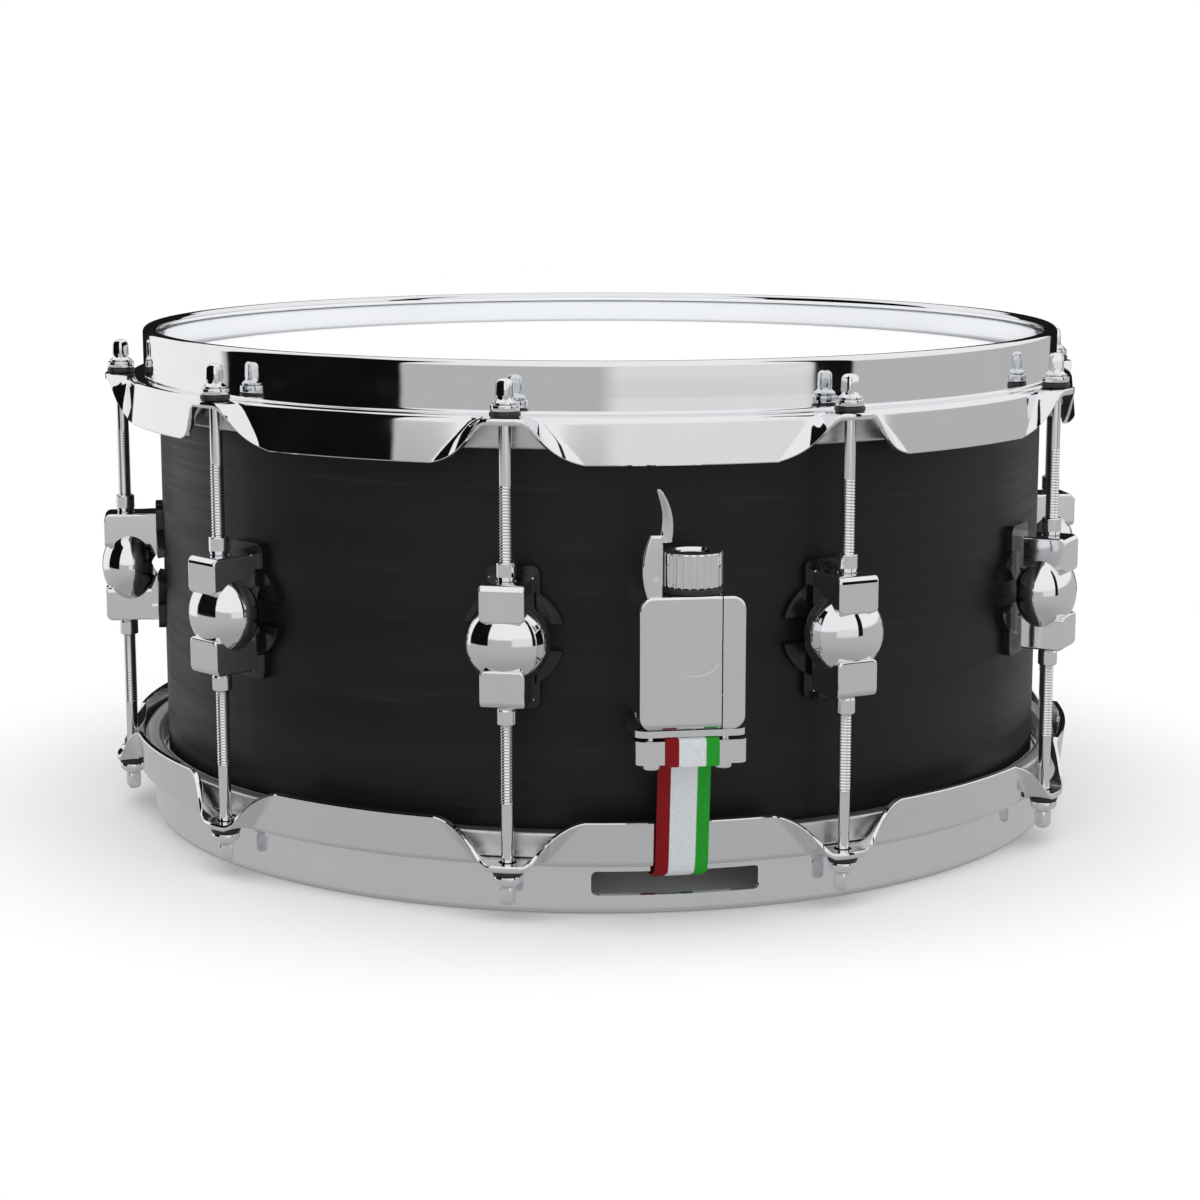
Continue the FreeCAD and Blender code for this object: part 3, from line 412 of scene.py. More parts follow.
def clear_film():
    """Thin clear film with a slight haze."""
    made, nodes, shader = material("clear_film")
    place = nodes.add("TexCoord").outputs["Object"]
    haze = nodes.noise(place, 30.0, 4.0)
    nodes.feed(nodes.mix(haze, (0.86, 0.88, 0.89, 1), (0.92, 0.93, 0.94, 1)), shader.inputs["Base Color"])
    nodes.feed(nodes.between(haze, 0.3, 0.7, 0.08, 0.16), shader.inputs["Roughness"])
    shader.inputs["Alpha"].default_value = 0.30
    shader.inputs["Coat Weight"].default_value = 0.3
    return made


def moulded(name, low, high, roughness, grain):
    """Moulded black nylon or rubber, with a fine moulding grain."""
    made, nodes, shader = material(name)
    place = nodes.add("TexCoord").outputs["Object"]
    speck = nodes.noise(place, grain, 3.0, 0.6)
    nodes.feed(nodes.mix(speck, grey(low), grey(high)), shader.inputs["Base Color"])
    nodes.feed(nodes.between(speck, 0.3, 0.7, roughness, roughness + 0.15), shader.inputs["Roughness"])
    nodes.feed(nodes.bump(speck, 0.00003, 0.5), shader.inputs["Normal"])
    return made


def plated(name, dark, light, rough_low, rough_high, grain=400.0):
    """Zinc plate, drawn wire or machined brass: a fine mottled metal."""
    made, nodes, shader = material(name)
    place = nodes.add("TexCoord").outputs["Object"]
    mottle = nodes.noise(place, grain, 4.0, 0.6)
    nodes.feed(nodes.mix(mottle, dark, light), shader.inputs["Base Color"])
    nodes.feed(nodes.between(mottle, 0.3, 0.7, rough_low, rough_high), shader.inputs["Roughness"])
    shader.inputs["Metallic"].default_value = 1.0
    nodes.feed(nodes.bump(mottle, 0.00003, 0.4), shader.inputs["Normal"])
    return made


def ribbon():
    """Woven polyester in three stripes: red, white and green, with the weft showing between the ribs."""
    made, nodes, shader = material("woven_ribbon")
    x, y, z = nodes.place()
    ribs = nodes.math("SINE", nodes.math("MULTIPLY", z, 2 * math.pi / RIB_PITCH))
    border = nodes.math("MULTIPLY", ribs, 0.12 * MM)
    at = nodes.math("ADD", x, border)
    half = STRAP_HALF / 2
    colour = nodes.mix(nodes.between(at, -half - 0.05 * MM, -half + 0.05 * MM),
                       (0.215, 0.0006, 0.0045, 1), (0.66, 0.68, 0.71, 1))
    colour = nodes.mix(nodes.between(at, half - 0.05 * MM, half + 0.05 * MM), colour, (0.012, 0.31, 0.020, 1))
    fibre = nodes.noise(nodes.vector(nodes.math("MULTIPLY", x, 2600.0), nodes.math("MULTIPLY", y, 900.0),
                                     nodes.math("MULTIPLY", z, 900.0)), 1.0, 3.0, 0.6)
    shade = nodes.mix(nodes.between(fibre, 0.3, 0.7), grey(0.86), grey(1.0))
    both = nodes.add("Mix", data_type="RGBA", blend_type="MULTIPLY")
    both.inputs[0].default_value = 1.0
    nodes.feed(colour, both.inputs[6])
    nodes.feed(shade, both.inputs[7])
    nodes.feed(both.outputs[2], shader.inputs["Base Color"])
    nodes.feed(nodes.between(fibre, 0.3, 0.7, 0.55, 0.75), shader.inputs["Roughness"])
    shader.inputs["Specular IOR Level"].default_value = 0.2
    nodes.feed(nodes.bump(fibre, 0.00003, 0.5), shader.inputs["Normal"])
    return made


CHROME = chrome()
RIBBON = ribbon()
ALUMINIUM = aluminium()
SHELL_FINISH = shell_finish()
COATED = coated_film()
CLEAR = clear_film()
NYLON = moulded("black_nylon", 0.010, 0.018, 0.35, 1200.0)
RUBBER = moulded("black_rubber", 0.004, 0.008, 0.12, 900.0)
STEEL = plated("zinc_steel", (0.42, 0.43, 0.45, 1), (0.60, 0.61, 0.63, 1), 0.25, 0.42)
BRASS = plated("brass", (0.60, 0.44, 0.18, 1), (0.76, 0.60, 0.30, 1), 0.20, 0.36)
WIRE = plated("snare_wire_steel", (0.55, 0.56, 0.58, 1), (0.74, 0.75, 0.77, 1), 0.16, 0.28)


def finish_cad_nodes():
    """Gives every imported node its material, by the record's material slot."""
    finishes = {"chrome": CHROME, "shell_finish": SHELL_FINISH, "coated_film": COATED, "clear_film": CLEAR,
                "aluminium": ALUMINIUM, "black_rubber": RUBBER, "black_nylon": NYLON, "steel": STEEL,
                "brass": BRASS, "wire": WIRE, "ribbon": RIBBON}
    for part in frame["record"]["subparts"]:
        mesh = NODES[part["node"]].data
        mesh.materials.clear()
        mesh.materials.append(finishes[part["material_slot"]])


finish_cad_nodes()


# ---------------------------------------------------------------- counter hoops

def leg_drop(half):
    """How far an ear's free edge has dropped at that distance from the rod, as a share."""
    half = half / MM
    if half <= EAR_LEG[0][0]:
        return 0.0
    if half >= EAR_LEG[3][0]:
        return 1.0
    low, high = 0.0, 1.0
    for _ in range(24):         # halves the range until t is known to one part in ten million
        t = (low + high) / 2
        weights = ((1 - t) ** 3, 3 * t * (1 - t) ** 2, 3 * t * t * (1 - t), t ** 3)
        if sum(w * p[0] for w, p in zip(weights, EAR_LEG)) < half:
            low = t
        else:
            high = t
    return sum(w * p[1] for w, p in zip(weights, EAR_LEG))


def resampled(points, count):
    """The same line with `count` points at even distances."""
    lengths = [0.0]
    for a, b in zip(points, points[1:]):
        lengths.append(lengths[-1] + math.dist(a, b))
    out, i = [], 0
    for k in range(count):
        want = lengths[-1] * k / (count - 1)
        while i < len(points) - 2 and lengths[i + 1] < want:
            i += 1
        share = (want - lengths[i]) / max(lengths[i + 1] - lengths[i], 1e-12)
        share = min(max(share, 0.0), 1.0)
        a, b = points[i], points[i + 1]
        out.append((a[0] + (b[0] - a[0]) * share, a[1] + (b[1] - a[1]) * share))
    return out


def skirt_line(half):
    """The skirt's outer line, from the ledge to its free edge, at that distance from the nearest rod."""
    drop = SKIRT_BOTTOM - LEDGE_TOP
    slope = (SKIRT_BOTTOM_RADIUS - SKIRT_TOP_RADIUS) / drop
    corner = (SKIRT_TOP_RADIUS - SKIRT_ROUND, LEDGE_TOP + SKIRT_ROUND)
    bend = arc(corner, SKIRT_ROUND, -90, 0, 8)
    crease = (half - CREASE_TOP_HALF) / (CREASE_FOOT_HALF - CREASE_TOP_HALF)
    fade = min(half / CREASE_FOOT_HALF, 1.0)
    edge_depth = LEDGE_TOP + drop * leg_drop(half)
    edge_radius = SKIRT_BOTTOM_RADIUS + (EAR_REACH - SKIRT_BOTTOM_RADIUS) * (1 - fade * fade) ** 2
    if crease >= 1:
        return bend + [(SKIRT_BOTTOM_RADIUS, SKIRT_BOTTOM)]
    if crease > 0:
        depth = LEDGE_TOP + SKIRT_ROUND + (drop - SKIRT_ROUND) * crease
        depth = min(depth, edge_depth - CREASE_OVER_EDGE)
        depth = max(depth, LEDGE_TOP + SKIRT_ROUND + CREASE_UNDER_BEND)
        crease_point = (SKIRT_TOP_RADIUS + slope * (depth - LEDGE_TOP), depth)
        return bend + [crease_point, (edge_radius, edge_depth)]
    flat = min(half / CREASE_TOP_HALF, 1.0)
    bend = [(r, LEDGE_TOP + (d - LEDGE_TOP) * flat ** 3) for r, d in bend]
    return bend + [(edge_radius, edge_depth)]


def offset_inside(line, gap):
    """The line moved by `gap` to its inner side."""
    out = []
    for i, (r, d) in enumerate(line):
        a = line[max(i - 1, 0)]
        b = line[min(i + 1, len(line) - 1)]
        dr, dd = b[0] - a[0], b[1] - a[1]
        length = math.hypot(dr, dd)
        out.append((r - dd / length * gap, d + dr / length * gap))
    return out


def crown_and_wall():
    """The rolled crown and the wall, from the inner wall's foot over the top to the ledge's fillet."""
    inner = WALL_RADIUS - WALL_SHEET
    lip = WALL_RADIUS - CROWN_WIDTH
    near, far = lip + CROWN_ROUND, WALL_RADIUS - CROWN_ROUND
    low = CROWN_HEIGHT - CROWN_ROUND
    line = [(inner, LEDGE_BOTTOM - 1.2 * MM), (inner, 12.0 * MM), (inner, CROWN_HEIGHT + 1.5 * MM)]
    line += [(inner - 0.1 * MM, CROWN_HEIGHT + 0.5 * MM), (inner - 0.45 * MM, CROWN_HEIGHT)]
    line += arc((near, low), CROWN_ROUND, 90, 180, 8) + arc((near, CROWN_ROUND), CROWN_ROUND, 180, 270, 8)
    line += arc((far, CROWN_ROUND), CROWN_ROUND, 270, 360, 8)
    line += [(WALL_RADIUS, 6.0 * MM), (WALL_RADIUS, 12.0 * MM)]
    foot = (WALL_RADIUS + LEDGE_FILLET, LEDGE_TOP - LEDGE_FILLET)
    line += arc(foot, LEDGE_FILLET, 180, 90, 6)
    return line


def hoop_outline(half):
    """The hoop's closed section at that distance along the rim from the nearest rod."""
    outer = resampled(skirt_line(half), 22)
    inner = offset_inside(outer, SKIRT_SHEET)[::-1]
    inner = [(max(r, WALL_RADIUS - WALL_SHEET + 1.0 * MM), max(d, LEDGE_BOTTOM)) for r, d in inner]
    edge_out, edge_in = outer[-1], inner[0]
    round_off, drawn_back = 0.13, 0.35      # shares that round the free edge, across the sheet and along it
    rim = [tuple(a + (b - a) * s for a, b in zip(edge_out, edge_in)) for s in (round_off, 0.5, 1 - round_off)]
    back = outer[-2]
    outer[-1] = tuple(a + (b - a) * drawn_back for a, b in zip(edge_out, back))
    inner[0] = tuple(a + (b - a) * drawn_back for a, b in zip(edge_in, inner[1]))
    foot = [(WALL_RADIUS - WALL_SHEET + 0.5 * MM, LEDGE_BOTTOM)]
    return crown_and_wall() + outer + rim + inner + foot


def hoop_mesh(name, steps=1800):
    """The whole hoop, with its crown at z = 0 and its skirt below."""
    spacing = 2 * math.pi / LUGS
    count = len(hoop_outline(0.0))
    points = []
    for i in range(steps):
        angle = 2 * math.pi * i / steps
        off = abs((angle % spacing) - spacing / 2)
        for r, d in hoop_outline(off * ROD_CIRCLE):
            points.append((r * math.sin(angle), -r * math.cos(angle), -d))
    return mesh_object(name, points, rings_to_faces(steps, count, closed_rings=True))


def drilled(name, radius, length, places):
    """Round cutters in one mesh, each upright at a place."""
    mesh = bmesh.new()
    for place in places:
        bmesh.ops.create_cone(mesh, cap_ends=True, segments=40, radius1=radius, radius2=radius, depth=length,
                              matrix=Matrix.Translation(place))
    return from_bmesh(name, mesh)


def from_bmesh(name, mesh):
    data = bpy.data.meshes.new(name)
    mesh.to_mesh(data)
    mesh.free()
    made = bpy.data.objects.new(name, data)
    bpy.context.scene.collection.objects.link(made)
    return made


def gate_cutter():
    """A box with rounded corners through the wall at each end of the wires."""
    mesh = bmesh.new()
    for sign in (-1, 1):
        spot = Matrix.Translation((0, sign * WALL_RADIUS, (GATE_LOW + GATE_HIGH) / 2))
        size = Matrix.Diagonal((2 * GATE_HALF, GATE_CUT_DEPTH, GATE_HIGH - GATE_LOW, 1))
        bmesh.ops.create_cube(mesh, size=1, matrix=spot @ size)
    corners = [e for e in mesh.edges if abs((e.verts[0].co - e.verts[1].co).normalized().y) > 0.9]
    bmesh.ops.bevel(mesh, geom=corners, offset=GATE_CORNER, segments=6, profile=0.5, affect="EDGES")
    return from_bmesh("gates", mesh)


def finished(piece, finish, slot, body, *stands_for, crisp=35):
    """Material, crisp edges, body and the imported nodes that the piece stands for."""
    if crisp:
        sharp_above(piece, crisp)
    piece.data.materials.clear()
    piece.data.materials.append(finish)
    if body:
        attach(piece, body)
    if stands_for:
        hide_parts(*stands_for)
    return piece


def make_hoops():
    """The two counter hoops. The snare-side one is the same hoop turned over, with a gate at each end."""
    middle = -(LEDGE_TOP + LEDGE_BOTTOM) / 2
    batter = hoop_mesh("rim_batter")
    snare = hoop_mesh("rim_snare")
    for hoop in (batter, snare):
        places = [turn(a) @ Vector((0, -ROD_CIRCLE, middle)) for a in lug_angles()]
        cut(hoop, [drilled("rod_holes", ROD_HOLE, ROD_HOLE_DEPTH, places)])
    batter.data.transform(Matrix.Translation((0, 0, RIM_TOP)))
    snare.data.transform(Matrix.Rotation(math.pi, 4, "Y"))
    cut(snare, [gate_cutter()])
    finished(batter, CHROME, "chrome", "drum", "batter_hoop", crisp=40)
    finished(snare, CHROME, "chrome", "drum", "snare_hoop", crisp=40)


# ---------------------------------------------------------------- heads

def make_heads():
    """Each film rolls over its bearing edge and runs down into a satin ring."""
    line = [(r * MM, z * MM) for r, z in FILM_LINE]
    under = [(r - FILM * MM, z - FILM * MM) for r, z in line]
    outline = [(0.0, line[0][1])] + line + under[::-1] + [(0.0, under[0][1])]
    inner, outer = FLESH_IN + FLESH_ROUND, FLESH_OUT - FLESH_ROUND
    top, foot = FLESH_TOP + FLESH_ROUND, FLESH_TOP + FLESH_HEIGHT - FLESH_ROUND
    ring = []
    for radius, depth, start in ((outer, top, -90), (outer, foot, 0), (inner, foot, 90), (inner, top, 180)):
        ring += arc((radius * MM, depth * MM), FLESH_ROUND * MM, start, start + 90, 6)
    for name, finish, slot, edge, side, rim in (
            ("batter", COATED, "coated_film", SHELL_HIGH, 1, RIM_TOP),
            ("snare", CLEAR, "clear_film", SHELL_LOW, -1, 0.0)):
        film = welded(lathe(name + "_film", [(r, edge + side * z) for r, z in outline], 320))
        finished(film, finish, slot, "drum", name + "_head")
        hoop = welded(lathe(name + "_flesh_ring", [(r, rim - side * d) for r, d in ring], 320))
        finished(hoop, ALUMINIUM, "aluminium", "drum", name + "_flesh_hoop", crisp=50)


def welded(piece):
    """Joins points that meet, such as those on the axis, and turns every face outwards."""
    mesh = bmesh.new()
    mesh.from_mesh(piece.data)
    bmesh.ops.remove_doubles(mesh, verts=mesh.verts, dist=1e-7)
    bmesh.ops.recalc_face_normals(mesh, faces=mesh.faces)
    mesh.to_mesh(piece.data)
    mesh.free()
    return piece


# ---------------------------------------------------------------- tension rods

def rounded_square(half, squareness, depth, steps=40):
    """A ring between a circle and a square."""
    ring = []
    for i in range(steps):
        t = 2 * math.pi * i / steps
        c, s = math.cos(t), math.sin(t)
        r = half / (abs(c) ** squareness + abs(s) ** squareness) ** (1 / squareness)
        ring.append((r * c, r * s, -depth))
    return ring


def threaded(radius, depth, groove, steps=40):
    """A ring of the thread's surface, `groove` deep where the helix cuts in."""
    ring = []
    for i in range(steps):
        phase = depth / THREAD_PITCH - i / steps
        r = radius - groove * (0.5 - 0.5 * math.cos(2 * math.pi * phase)) ** 0.8
        t = 2 * math.pi * i / steps
        ring.append((r * math.cos(t), r * math.sin(t), -depth))
    return ring


def rod_mesh(name, seen_to, end):
    """A rod that hangs down from z = 0, the rim's crown: head, shank, and a thread down to its nut."""
    rings = [rounded_square(half * MM, squareness, depth * MM) for depth, half, squareness in HEAD_RINGS]
    rings += [rounded_square(SHANK_RADIUS, 2, depth) for depth in (13.76 * MM, 20 * MM, 30 * MM, THREAD_TOP)]
    row = THREAD_PITCH / 10
    rows = int((seen_to - THREAD_TOP) / row)
    for k in range(rows):
        depth = THREAD_TOP + (k + 1) * row
        start = min(k * row / THREAD_PITCH, 1.0)
        radius = SHANK_RADIUS + (THREAD_RADIUS - SHANK_RADIUS) * start
        rings.append(threaded(radius, depth, THREAD_DEPTH * start))
    rings += [rounded_square(SHANK_RADIUS, 2, depth) for depth in (seen_to + row, end)]
    rod = lofted(name, rings)
    welded(rod)
    mesh = sharp_above(rod, 38).data
    mesh.materials.append(CHROME)
    bpy.data.objects.remove(rod)
    return mesh


def make_rods():
    nut = MIDDLE + NUT_TOP
    batter = rod_mesh("tension_rod_batter", RIM_TOP - nut + THREAD_INTO_NUT, RIM_TOP - MIDDLE - THREAD_END)
    snare = rod_mesh("tension_rod_snare", MIDDLE - NUT_TOP + THREAD_INTO_NUT, MIDDLE - THREAD_END)
    at_rim = Matrix.Translation((0, -ROD_CIRCLE, 0))
    over = Matrix.Rotation(math.pi, 4, "X")
    for i, angle in enumerate(lug_angles()):
        for side, mesh, place in (("batter", batter, Matrix.Translation((0, 0, RIM_TOP)) @ at_rim),
                                  ("snare", snare, at_rim @ over)):
            name = "%s_rod_%02d" % (side, i + 1)
            rod = bpy.data.objects.new("tension_" + name, mesh)
            bpy.context.scene.collection.objects.link(rod)
            own_turn = HEAD_TURNS[i] if side == "batter" else HEAD_TURNS[-1 - i]
            rod.matrix_world = turn(angle) @ place @ turn(own_turn)
            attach(rod, name)
            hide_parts(name)


def at_every_rod(name, outline, steps=56):
    """A closed (radius, depth) outline in mm, turned round every rod on both sides of the drum."""
    points, faces = [], []
    for angle in lug_angles():
        for crown, down in ((RIM_TOP, -1), (0.0, 1)):
            centre = turn(angle) @ Vector((0, -ROD_CIRCLE, crown))
            first = len(points)
            for i in range(steps):
                t = 2 * math.pi * i / steps
                points += [(centre.x + r * MM * math.cos(t), centre.y + r * MM * math.sin(t),
                            centre.z + down * depth * MM) for r, depth in outline]
            ring = rings_to_faces(steps, len(outline), closed_rings=True)
            faces += [tuple(first + k for k in face) for face in ring]
    return welded(mesh_object(name, points, faces))


def make_washers():
    finished(at_every_rod("metal_washers", METAL_WASHER), CHROME, "chrome", "drum", "rod_washers")
    finished(at_every_rod("nylon_washers", NYLON_WASHER), NYLON, "black_nylon", "drum", "rod_nylon_washers")


# ---------------------------------------------------------------- snare wires and straps

def make_coils():
    """Twenty coiled strands side by side, each a real helix of steel wire."""
    per_turn, around = 8, 5
    rings = int(2 * COIL_HALF_LENGTH / COIL_PITCH * per_turn)
    points, faces = [], []
    for strand in range(STRANDS):
        centre = (strand - (STRANDS - 1) / 2) * STRAND_PITCH
        first = len(points)
        for k in range(rings + 1):
            t = 2 * math.pi * k / per_turn
            y = -COIL_HALF_LENGTH + 2 * COIL_HALF_LENGTH * k / rings
            for j in range(around):
                u = 2 * math.pi * j / around
                r = COIL_RADIUS + COIL_WIRE * math.cos(u)
                points.append((centre + r * math.cos(t),
                               y + COIL_WIRE * math.sin(u),
                               WIRE_HEIGHT + r * math.sin(t)))
        skin = rings_to_faces(rings + 1, around)
        faces += [tuple(first + k for k in face) for face in skin]
    finished(mesh_object("coiled_wires", points, faces), WIRE, "wire", "snares", "snare_coils", crisp=0)


def make_end_plates():
    """The plates that hold the strands, with rounded edges and a slot. The strap passes under the slot."""
    low, high = node_low("snare_end_plates"), node_high("snare_end_plates")
    inner, outer = COIL_HALF_LENGTH, high.y
    mesh = bmesh.new()
    for sign in (-1, 1):
        middle = Vector((0, sign * (inner + outer) / 2, (low.z + high.z) / 2))
        size = Matrix.Diagonal((high.x - low.x, outer - inner, high.z - low.z, 1))
        bmesh.ops.create_cube(mesh, size=1, matrix=Matrix.Translation(middle) @ size)
    corners = [e for e in mesh.edges if abs((e.verts[0].co - e.verts[1].co).normalized().z) > 0.9]
    bmesh.ops.bevel(mesh, geom=corners, offset=PLATE_CORNER, segments=6, profile=0.5, affect="EDGES")
    plates = from_bmesh("end_plates", mesh)
    slots = bmesh.new()
    for sign in (-1, 1):
        middle = Vector((0, sign * (outer - PLATE_SLOT_INSET), (low.z + high.z) / 2))
        size = Matrix.Diagonal((2 * STRAP_HALF + PLATE_SLOT_ROOM, PLATE_SLOT_WIDTH, PLATE_SLOT_DEPTH, 1))
        bmesh.ops.create_cube(slots, size=1, matrix=Matrix.Translation(middle) @ size)
    cut(plates, [from_bmesh("slots", slots)])
    soften = plates.modifiers.new("soften", "BEVEL")
    soften.width = PLATE_EDGE_ROUND
    soften.segments = 3
    soften.limit_method = "ANGLE"
    apply_modifiers(plates)
    finished(plates, STEEL, "wire", "snares", "snare_end_plates")


def cornered(points, reach, steps=7):
    """The path with each corner rounded from `reach` before it to `reach` after it."""
    path = [points[0]]
    for before, corner, after in zip(points, points[1:], points[2:]):
        ends = []
        for other in (before, after):
            length = math.dist(corner, other)
            share = min(reach / length, 0.45)
            ends.append(tuple(c + (o - c) * share for c, o in zip(corner, other)))
        for k in range(steps + 1):
            t = k / steps
            path.append(tuple((1 - t) ** 2 * a + 2 * t * (1 - t) * c + t * t * b
                              for a, c, b in zip(ends[0], corner, ends[1])))
    return path + [points[-1]]


def strap_path():
    """The strap's middle line as (radius, height): under the plate, out at the gate, up and round the bar."""
    bar_low, bar_high = node_low("throwoff_clamp_bar").z, node_high("throwoff_clamp_bar").z
    bar_front = -node_low("throwoff_clamp_bar").y
    jaw_low = node_low("throwoff_carriage").z
    clear = STRAP / 2 + STRAP_GAP
    under_plate = STRAP_LEVEL - STRAP_DIP
    under_bar = bar_low - clear
    front = bar_front + clear
    over_bar = (bar_high + jaw_low) / 2
    corners = [(157.5 * MM, under_plate), (164.0 * MM, under_plate), (183.0 * MM, STRAP_LEVEL + 0.4 * MM),
               (191.2 * MM, 17.0 * MM), (192.8 * MM, 20.5 * MM), (197.4 * MM, under_bar),
               (front, under_bar), (front, over_bar), (205.0 * MM, over_bar)]
    return cornered(corners, STRAP_CORNER)


def woven_strap(name, turned):
    """A ribbed ribbon: each rib crosses the strap, and every second warp thread rides over it."""
    path = strap_path()
    length = sum(math.dist(a, b) for a, b in zip(path, path[1:]))
    along = int(length / (RIB_PITCH / 5))
    across = 50
    thin_end, thin_side = 0.35, 0.45      # shares of the thickness left at the cut ends and the sides
    middle = resampled(path, along + 1)
    rings = []
    for k, (r, z) in enumerate(middle):
        a, b = middle[max(k - 1, 0)], middle[min(k + 1, along)]
        dr, dz = b[0] - a[0], b[1] - a[1]
        run = math.hypot(dr, dz)
        out_r, out_z = dz / run, -dr / run
        rib = 2 * math.pi * length * k / along / RIB_PITCH
        end = thin_end if k in (0, along) else 1.0
        ring = []
        for side in (1, -1):
            for j in range(across + 1):
                share = j / across if side > 0 else 1 - j / across
                x = (2 * share - 1) * STRAP_HALF
                over = math.cos(rib + (math.pi if (j // 2) % 2 else 0.0))
                edge = thin_side if j in (0, across) else 1.0
                weave = RIB_DEPTH * (0.5 * over + 0.5 * abs(math.cos(rib / 2)) - 0.5)
                height = side * end * edge * (STRAP / 2 + weave)
                ring.append((x, -(r + out_r * height), z + out_z * height))
        rings.append(ring)
    strap = lofted(name, rings)
    strap.data.transform(turn(turned))
    return welded(strap), length


def make_straps():
    """Each strap is built along its route, turned to its end of the drum, and stands in for its imported
    node.
    """
    for name, turned, node, held_by, free in (
            ("ribbon_throwoff", 0, "throwoff_strap", "clamp", "traveller"),
            ("ribbon_butt", 180, "butt_strap", "drum", "snares")):
        strap, length = woven_strap(name, turned)
        finished(strap, RIBBON, "ribbon", None, node, crisp=0)
        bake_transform(strap)


make_hoops()
make_heads()
make_rods()
make_washers()
make_coils()
make_end_plates()
make_straps()


# ---------------------------------------------------------------- studio

CAMERA_TURN = -8.43         # degrees round the drum from the throw-off
CAMERA_DISTANCE = 1.05634
CAMERA_HEIGHT = 0.2719
CAMERA_PITCH = 9.80
CAMERA_LENS = 77.65
CAMERA_SHIFT_Y = -0.02275
FLAG_HEIGHTS = (-7.0, 55.0)      # degrees above the horizon that the studio's dark side flags cover
BEHIND_HEIGHTS = (-10.0, 24.0)   # and those that the one behind the drum covers
ROOM_BELOW = (-60.0, -5.0)       # degrees over which the room grows lighter towards the horizon
ROOM_ABOVE = (3.0, 8.0)          # and over which it turns white
# What else the chrome mirrors: azimuths counted from the camera towards its right, heights, brightness and
# soft border. The flag behind the drum takes two rows, because azimuths stop at 180 degrees.
PANELS = (((2.0, 52.0), (-7.0, 8.0), 0.80, 6.0),
          ((-150.0, -104.0), (-11.0, 30.0), 0.95, 3.0),
          ((-102.0, -48.0), FLAG_HEIGHTS, 0.004, 1.5),
          ((52.0, 62.5), FLAG_HEIGHTS, 0.006, 1.5),
          ((150.0, 190.0), BEHIND_HEIGHTS, 0.010, 1.5),
          ((-190.0, -150.0), BEHIND_HEIGHTS, 0.010, 1.5))
FLOOR_LEVEL = -0.4 * MM
FLOOR_SOLID = 200.0 * MM      # the floor is solid out to here, and has faded into the backdrop by FLOOR_EDGE
FLOOR_EDGE = 520.0 * MM


def make_camera():
    data = bpy.data.cameras.new("camera")
    data.lens = CAMERA_LENS
    data.sensor_width = 36.0
    data.shift_y = CAMERA_SHIFT_Y
    camera = bpy.data.objects.new("camera", data)
    turned = math.radians(CAMERA_TURN)
    camera.location = (CAMERA_DISTANCE * math.sin(turned), -CAMERA_DISTANCE * math.cos(turned), CAMERA_HEIGHT)
    camera.rotation_euler = (math.radians(90 - CAMERA_PITCH), 0, turned)
    bpy.context.scene.collection.objects.link(camera)
    bpy.context.scene.camera = camera


def window(nodes, azimuth, elevation, sides, heights, soft):
    """How much a direction lies inside a box of azimuths and elevations, in degrees, with soft borders."""
    shares = []
    for value, (low, high) in ((azimuth, sides), (elevation, heights)):
        shares.append(nodes.between(value, low - soft / 2, low + soft / 2))
        shares.append(nodes.between(value, high - soft / 2, high + soft / 2, 1.0, 0.0))
    share = shares[0]
    for other in shares[1:]:
        share = nodes.math("MULTIPLY", share, other)
    return share


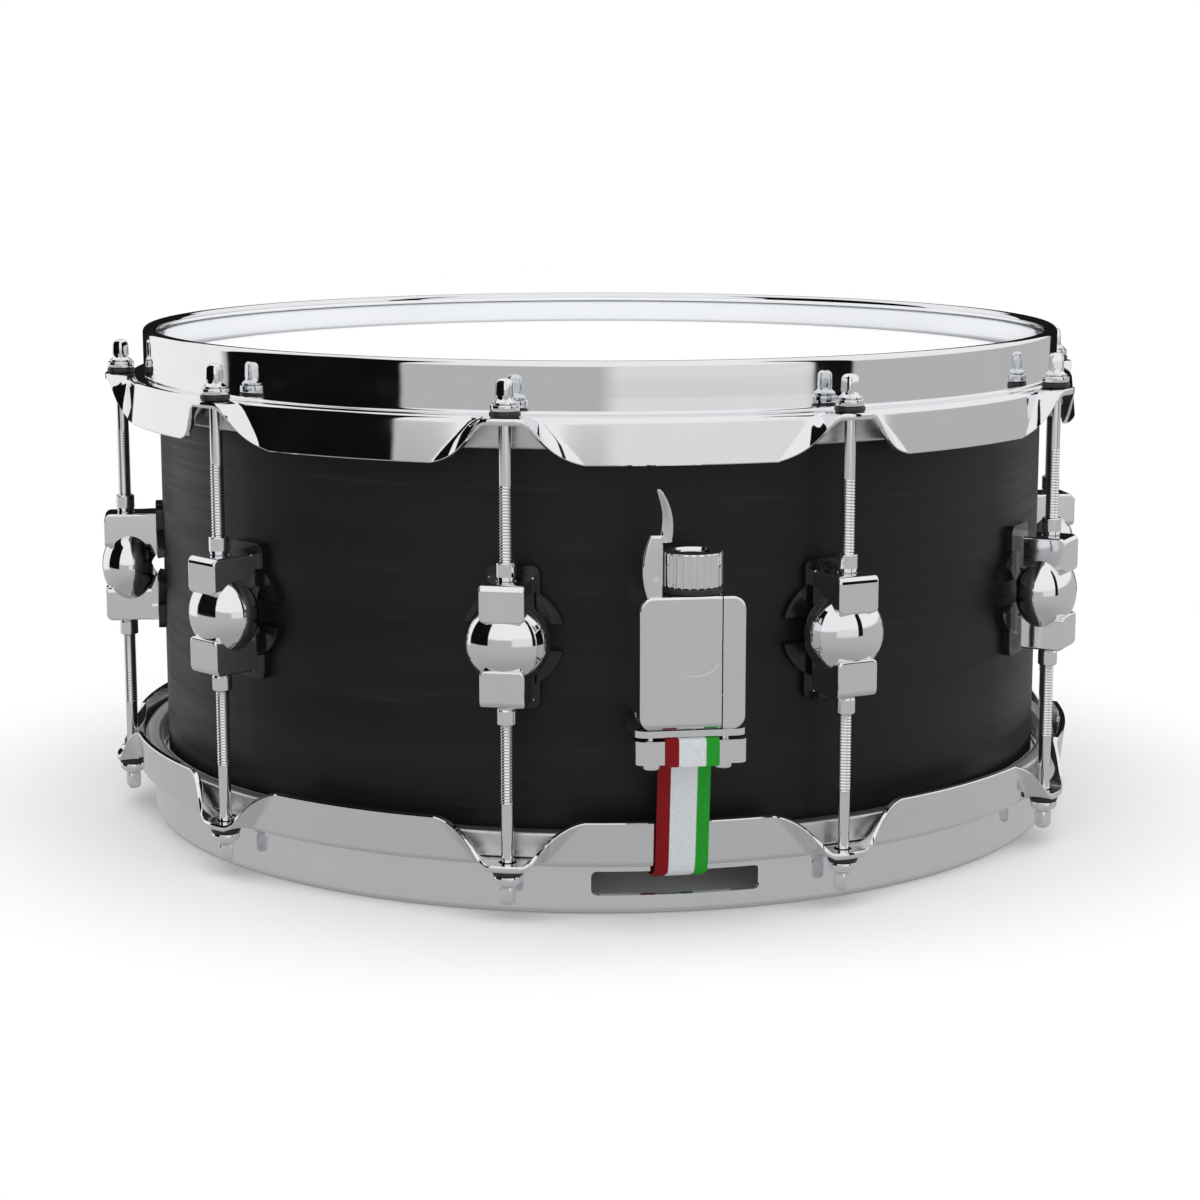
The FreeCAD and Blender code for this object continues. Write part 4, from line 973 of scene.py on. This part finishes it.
def make_world():
    """A pale studio: white overhead, softer sides, and a few dark flags that draw the edges of the chrome."""
    world = bpy.data.worlds.new("studio")
    bpy.context.scene.world = world
    world.use_nodes = True
    nodes = Nodes(world.node_tree)
    split = nodes.add("SeparateXYZ")
    nodes.feed(nodes.add("TexCoord").outputs["Generated"], split.inputs[0])
    x, y, z = split.outputs
    across, along = math.cos(math.radians(CAMERA_TURN)), math.sin(math.radians(CAMERA_TURN))
    side = nodes.math("ADD", nodes.math("MULTIPLY", x, across), nodes.math("MULTIPLY", y, along))
    ahead = nodes.math("SUBTRACT", nodes.math("MULTIPLY", x, along), nodes.math("MULTIPLY", y, across))
    to_degrees = 180 / math.pi
    azimuth = nodes.math("MULTIPLY", nodes.math("ARCTAN2", side, ahead), to_degrees)
    elevation = nodes.math("MULTIPLY", nodes.math("ARCSINE", z), to_degrees)
    light = nodes.mix(nodes.between(elevation, *ROOM_BELOW), grey(0.36), grey(0.50))
    light = nodes.mix(nodes.between(elevation, *ROOM_ABOVE), light, grey(0.95))
    for sides, heights, level, soft in PANELS:
        light = nodes.mix(window(nodes, azimuth, elevation, sides, heights, soft), light, grey(level))
    shine = nodes.add("Background")
    nodes.feed(light, shine.inputs[0])
    soft_fill = nodes.add("Background")
    soft_fill.inputs[0].default_value = grey(0.9)
    backdrop = nodes.add("Background")
    backdrop.inputs[0].default_value = grey(1.0)
    path = nodes.add("LightPath")
    glossy = nodes.add("MixShader")
    nodes.feed(path.outputs["Is Glossy Ray"], glossy.inputs[0])
    nodes.feed(soft_fill.outputs[0], glossy.inputs[1])
    nodes.feed(shine.outputs[0], glossy.inputs[2])
    seen = nodes.add("MixShader")
    nodes.feed(path.outputs["Is Camera Ray"], seen.inputs[0])
    nodes.feed(glossy.outputs[0], seen.inputs[1])
    nodes.feed(backdrop.outputs[0], seen.inputs[2])
    nodes.feed(seen.outputs[0], nodes.add("OutputWorld").inputs[0])


def make_floor():
    """A pale floor that fades into the white backdrop a short way out from the drum."""
    points = [(x * FLOOR_EDGE, y * FLOOR_EDGE, FLOOR_LEVEL) for x, y in ((-1, -1), (1, -1), (1, 1), (-1, 1))]
    floor = mesh_object("floor", points, [(0, 1, 2, 3)], smooth=False)
    made, nodes, shader = material("floor_pale")
    shader.inputs["Base Color"].default_value = grey(0.93)
    shader.inputs["Roughness"].default_value = 0.9
    shader.inputs["Specular IOR Level"].default_value = 0.1
    radius = around_and_up(nodes)[1]
    nodes.feed(nodes.between(radius, FLOOR_SOLID, FLOOR_EDGE, 1.0, 0.0), shader.inputs["Alpha"])
    floor.data.materials.append(made)
    floor.visible_glossy = False


def make_lights():
    """One broad soft panel overhead."""
    data = bpy.data.lights.new("overhead", "AREA")
    data.shape = "RECTANGLE"
    data.size = 2.4
    data.size_y = 1.8
    data.energy = 18.0
    light = bpy.data.objects.new("overhead", data)
    light.location = (0.0, -0.3, 2.0)
    light.visible_glossy = False
    bpy.context.scene.collection.objects.link(light)


make_camera()
make_world()
make_floor()
make_lights()
bpy.context.scene.view_settings.view_transform = "Standard"
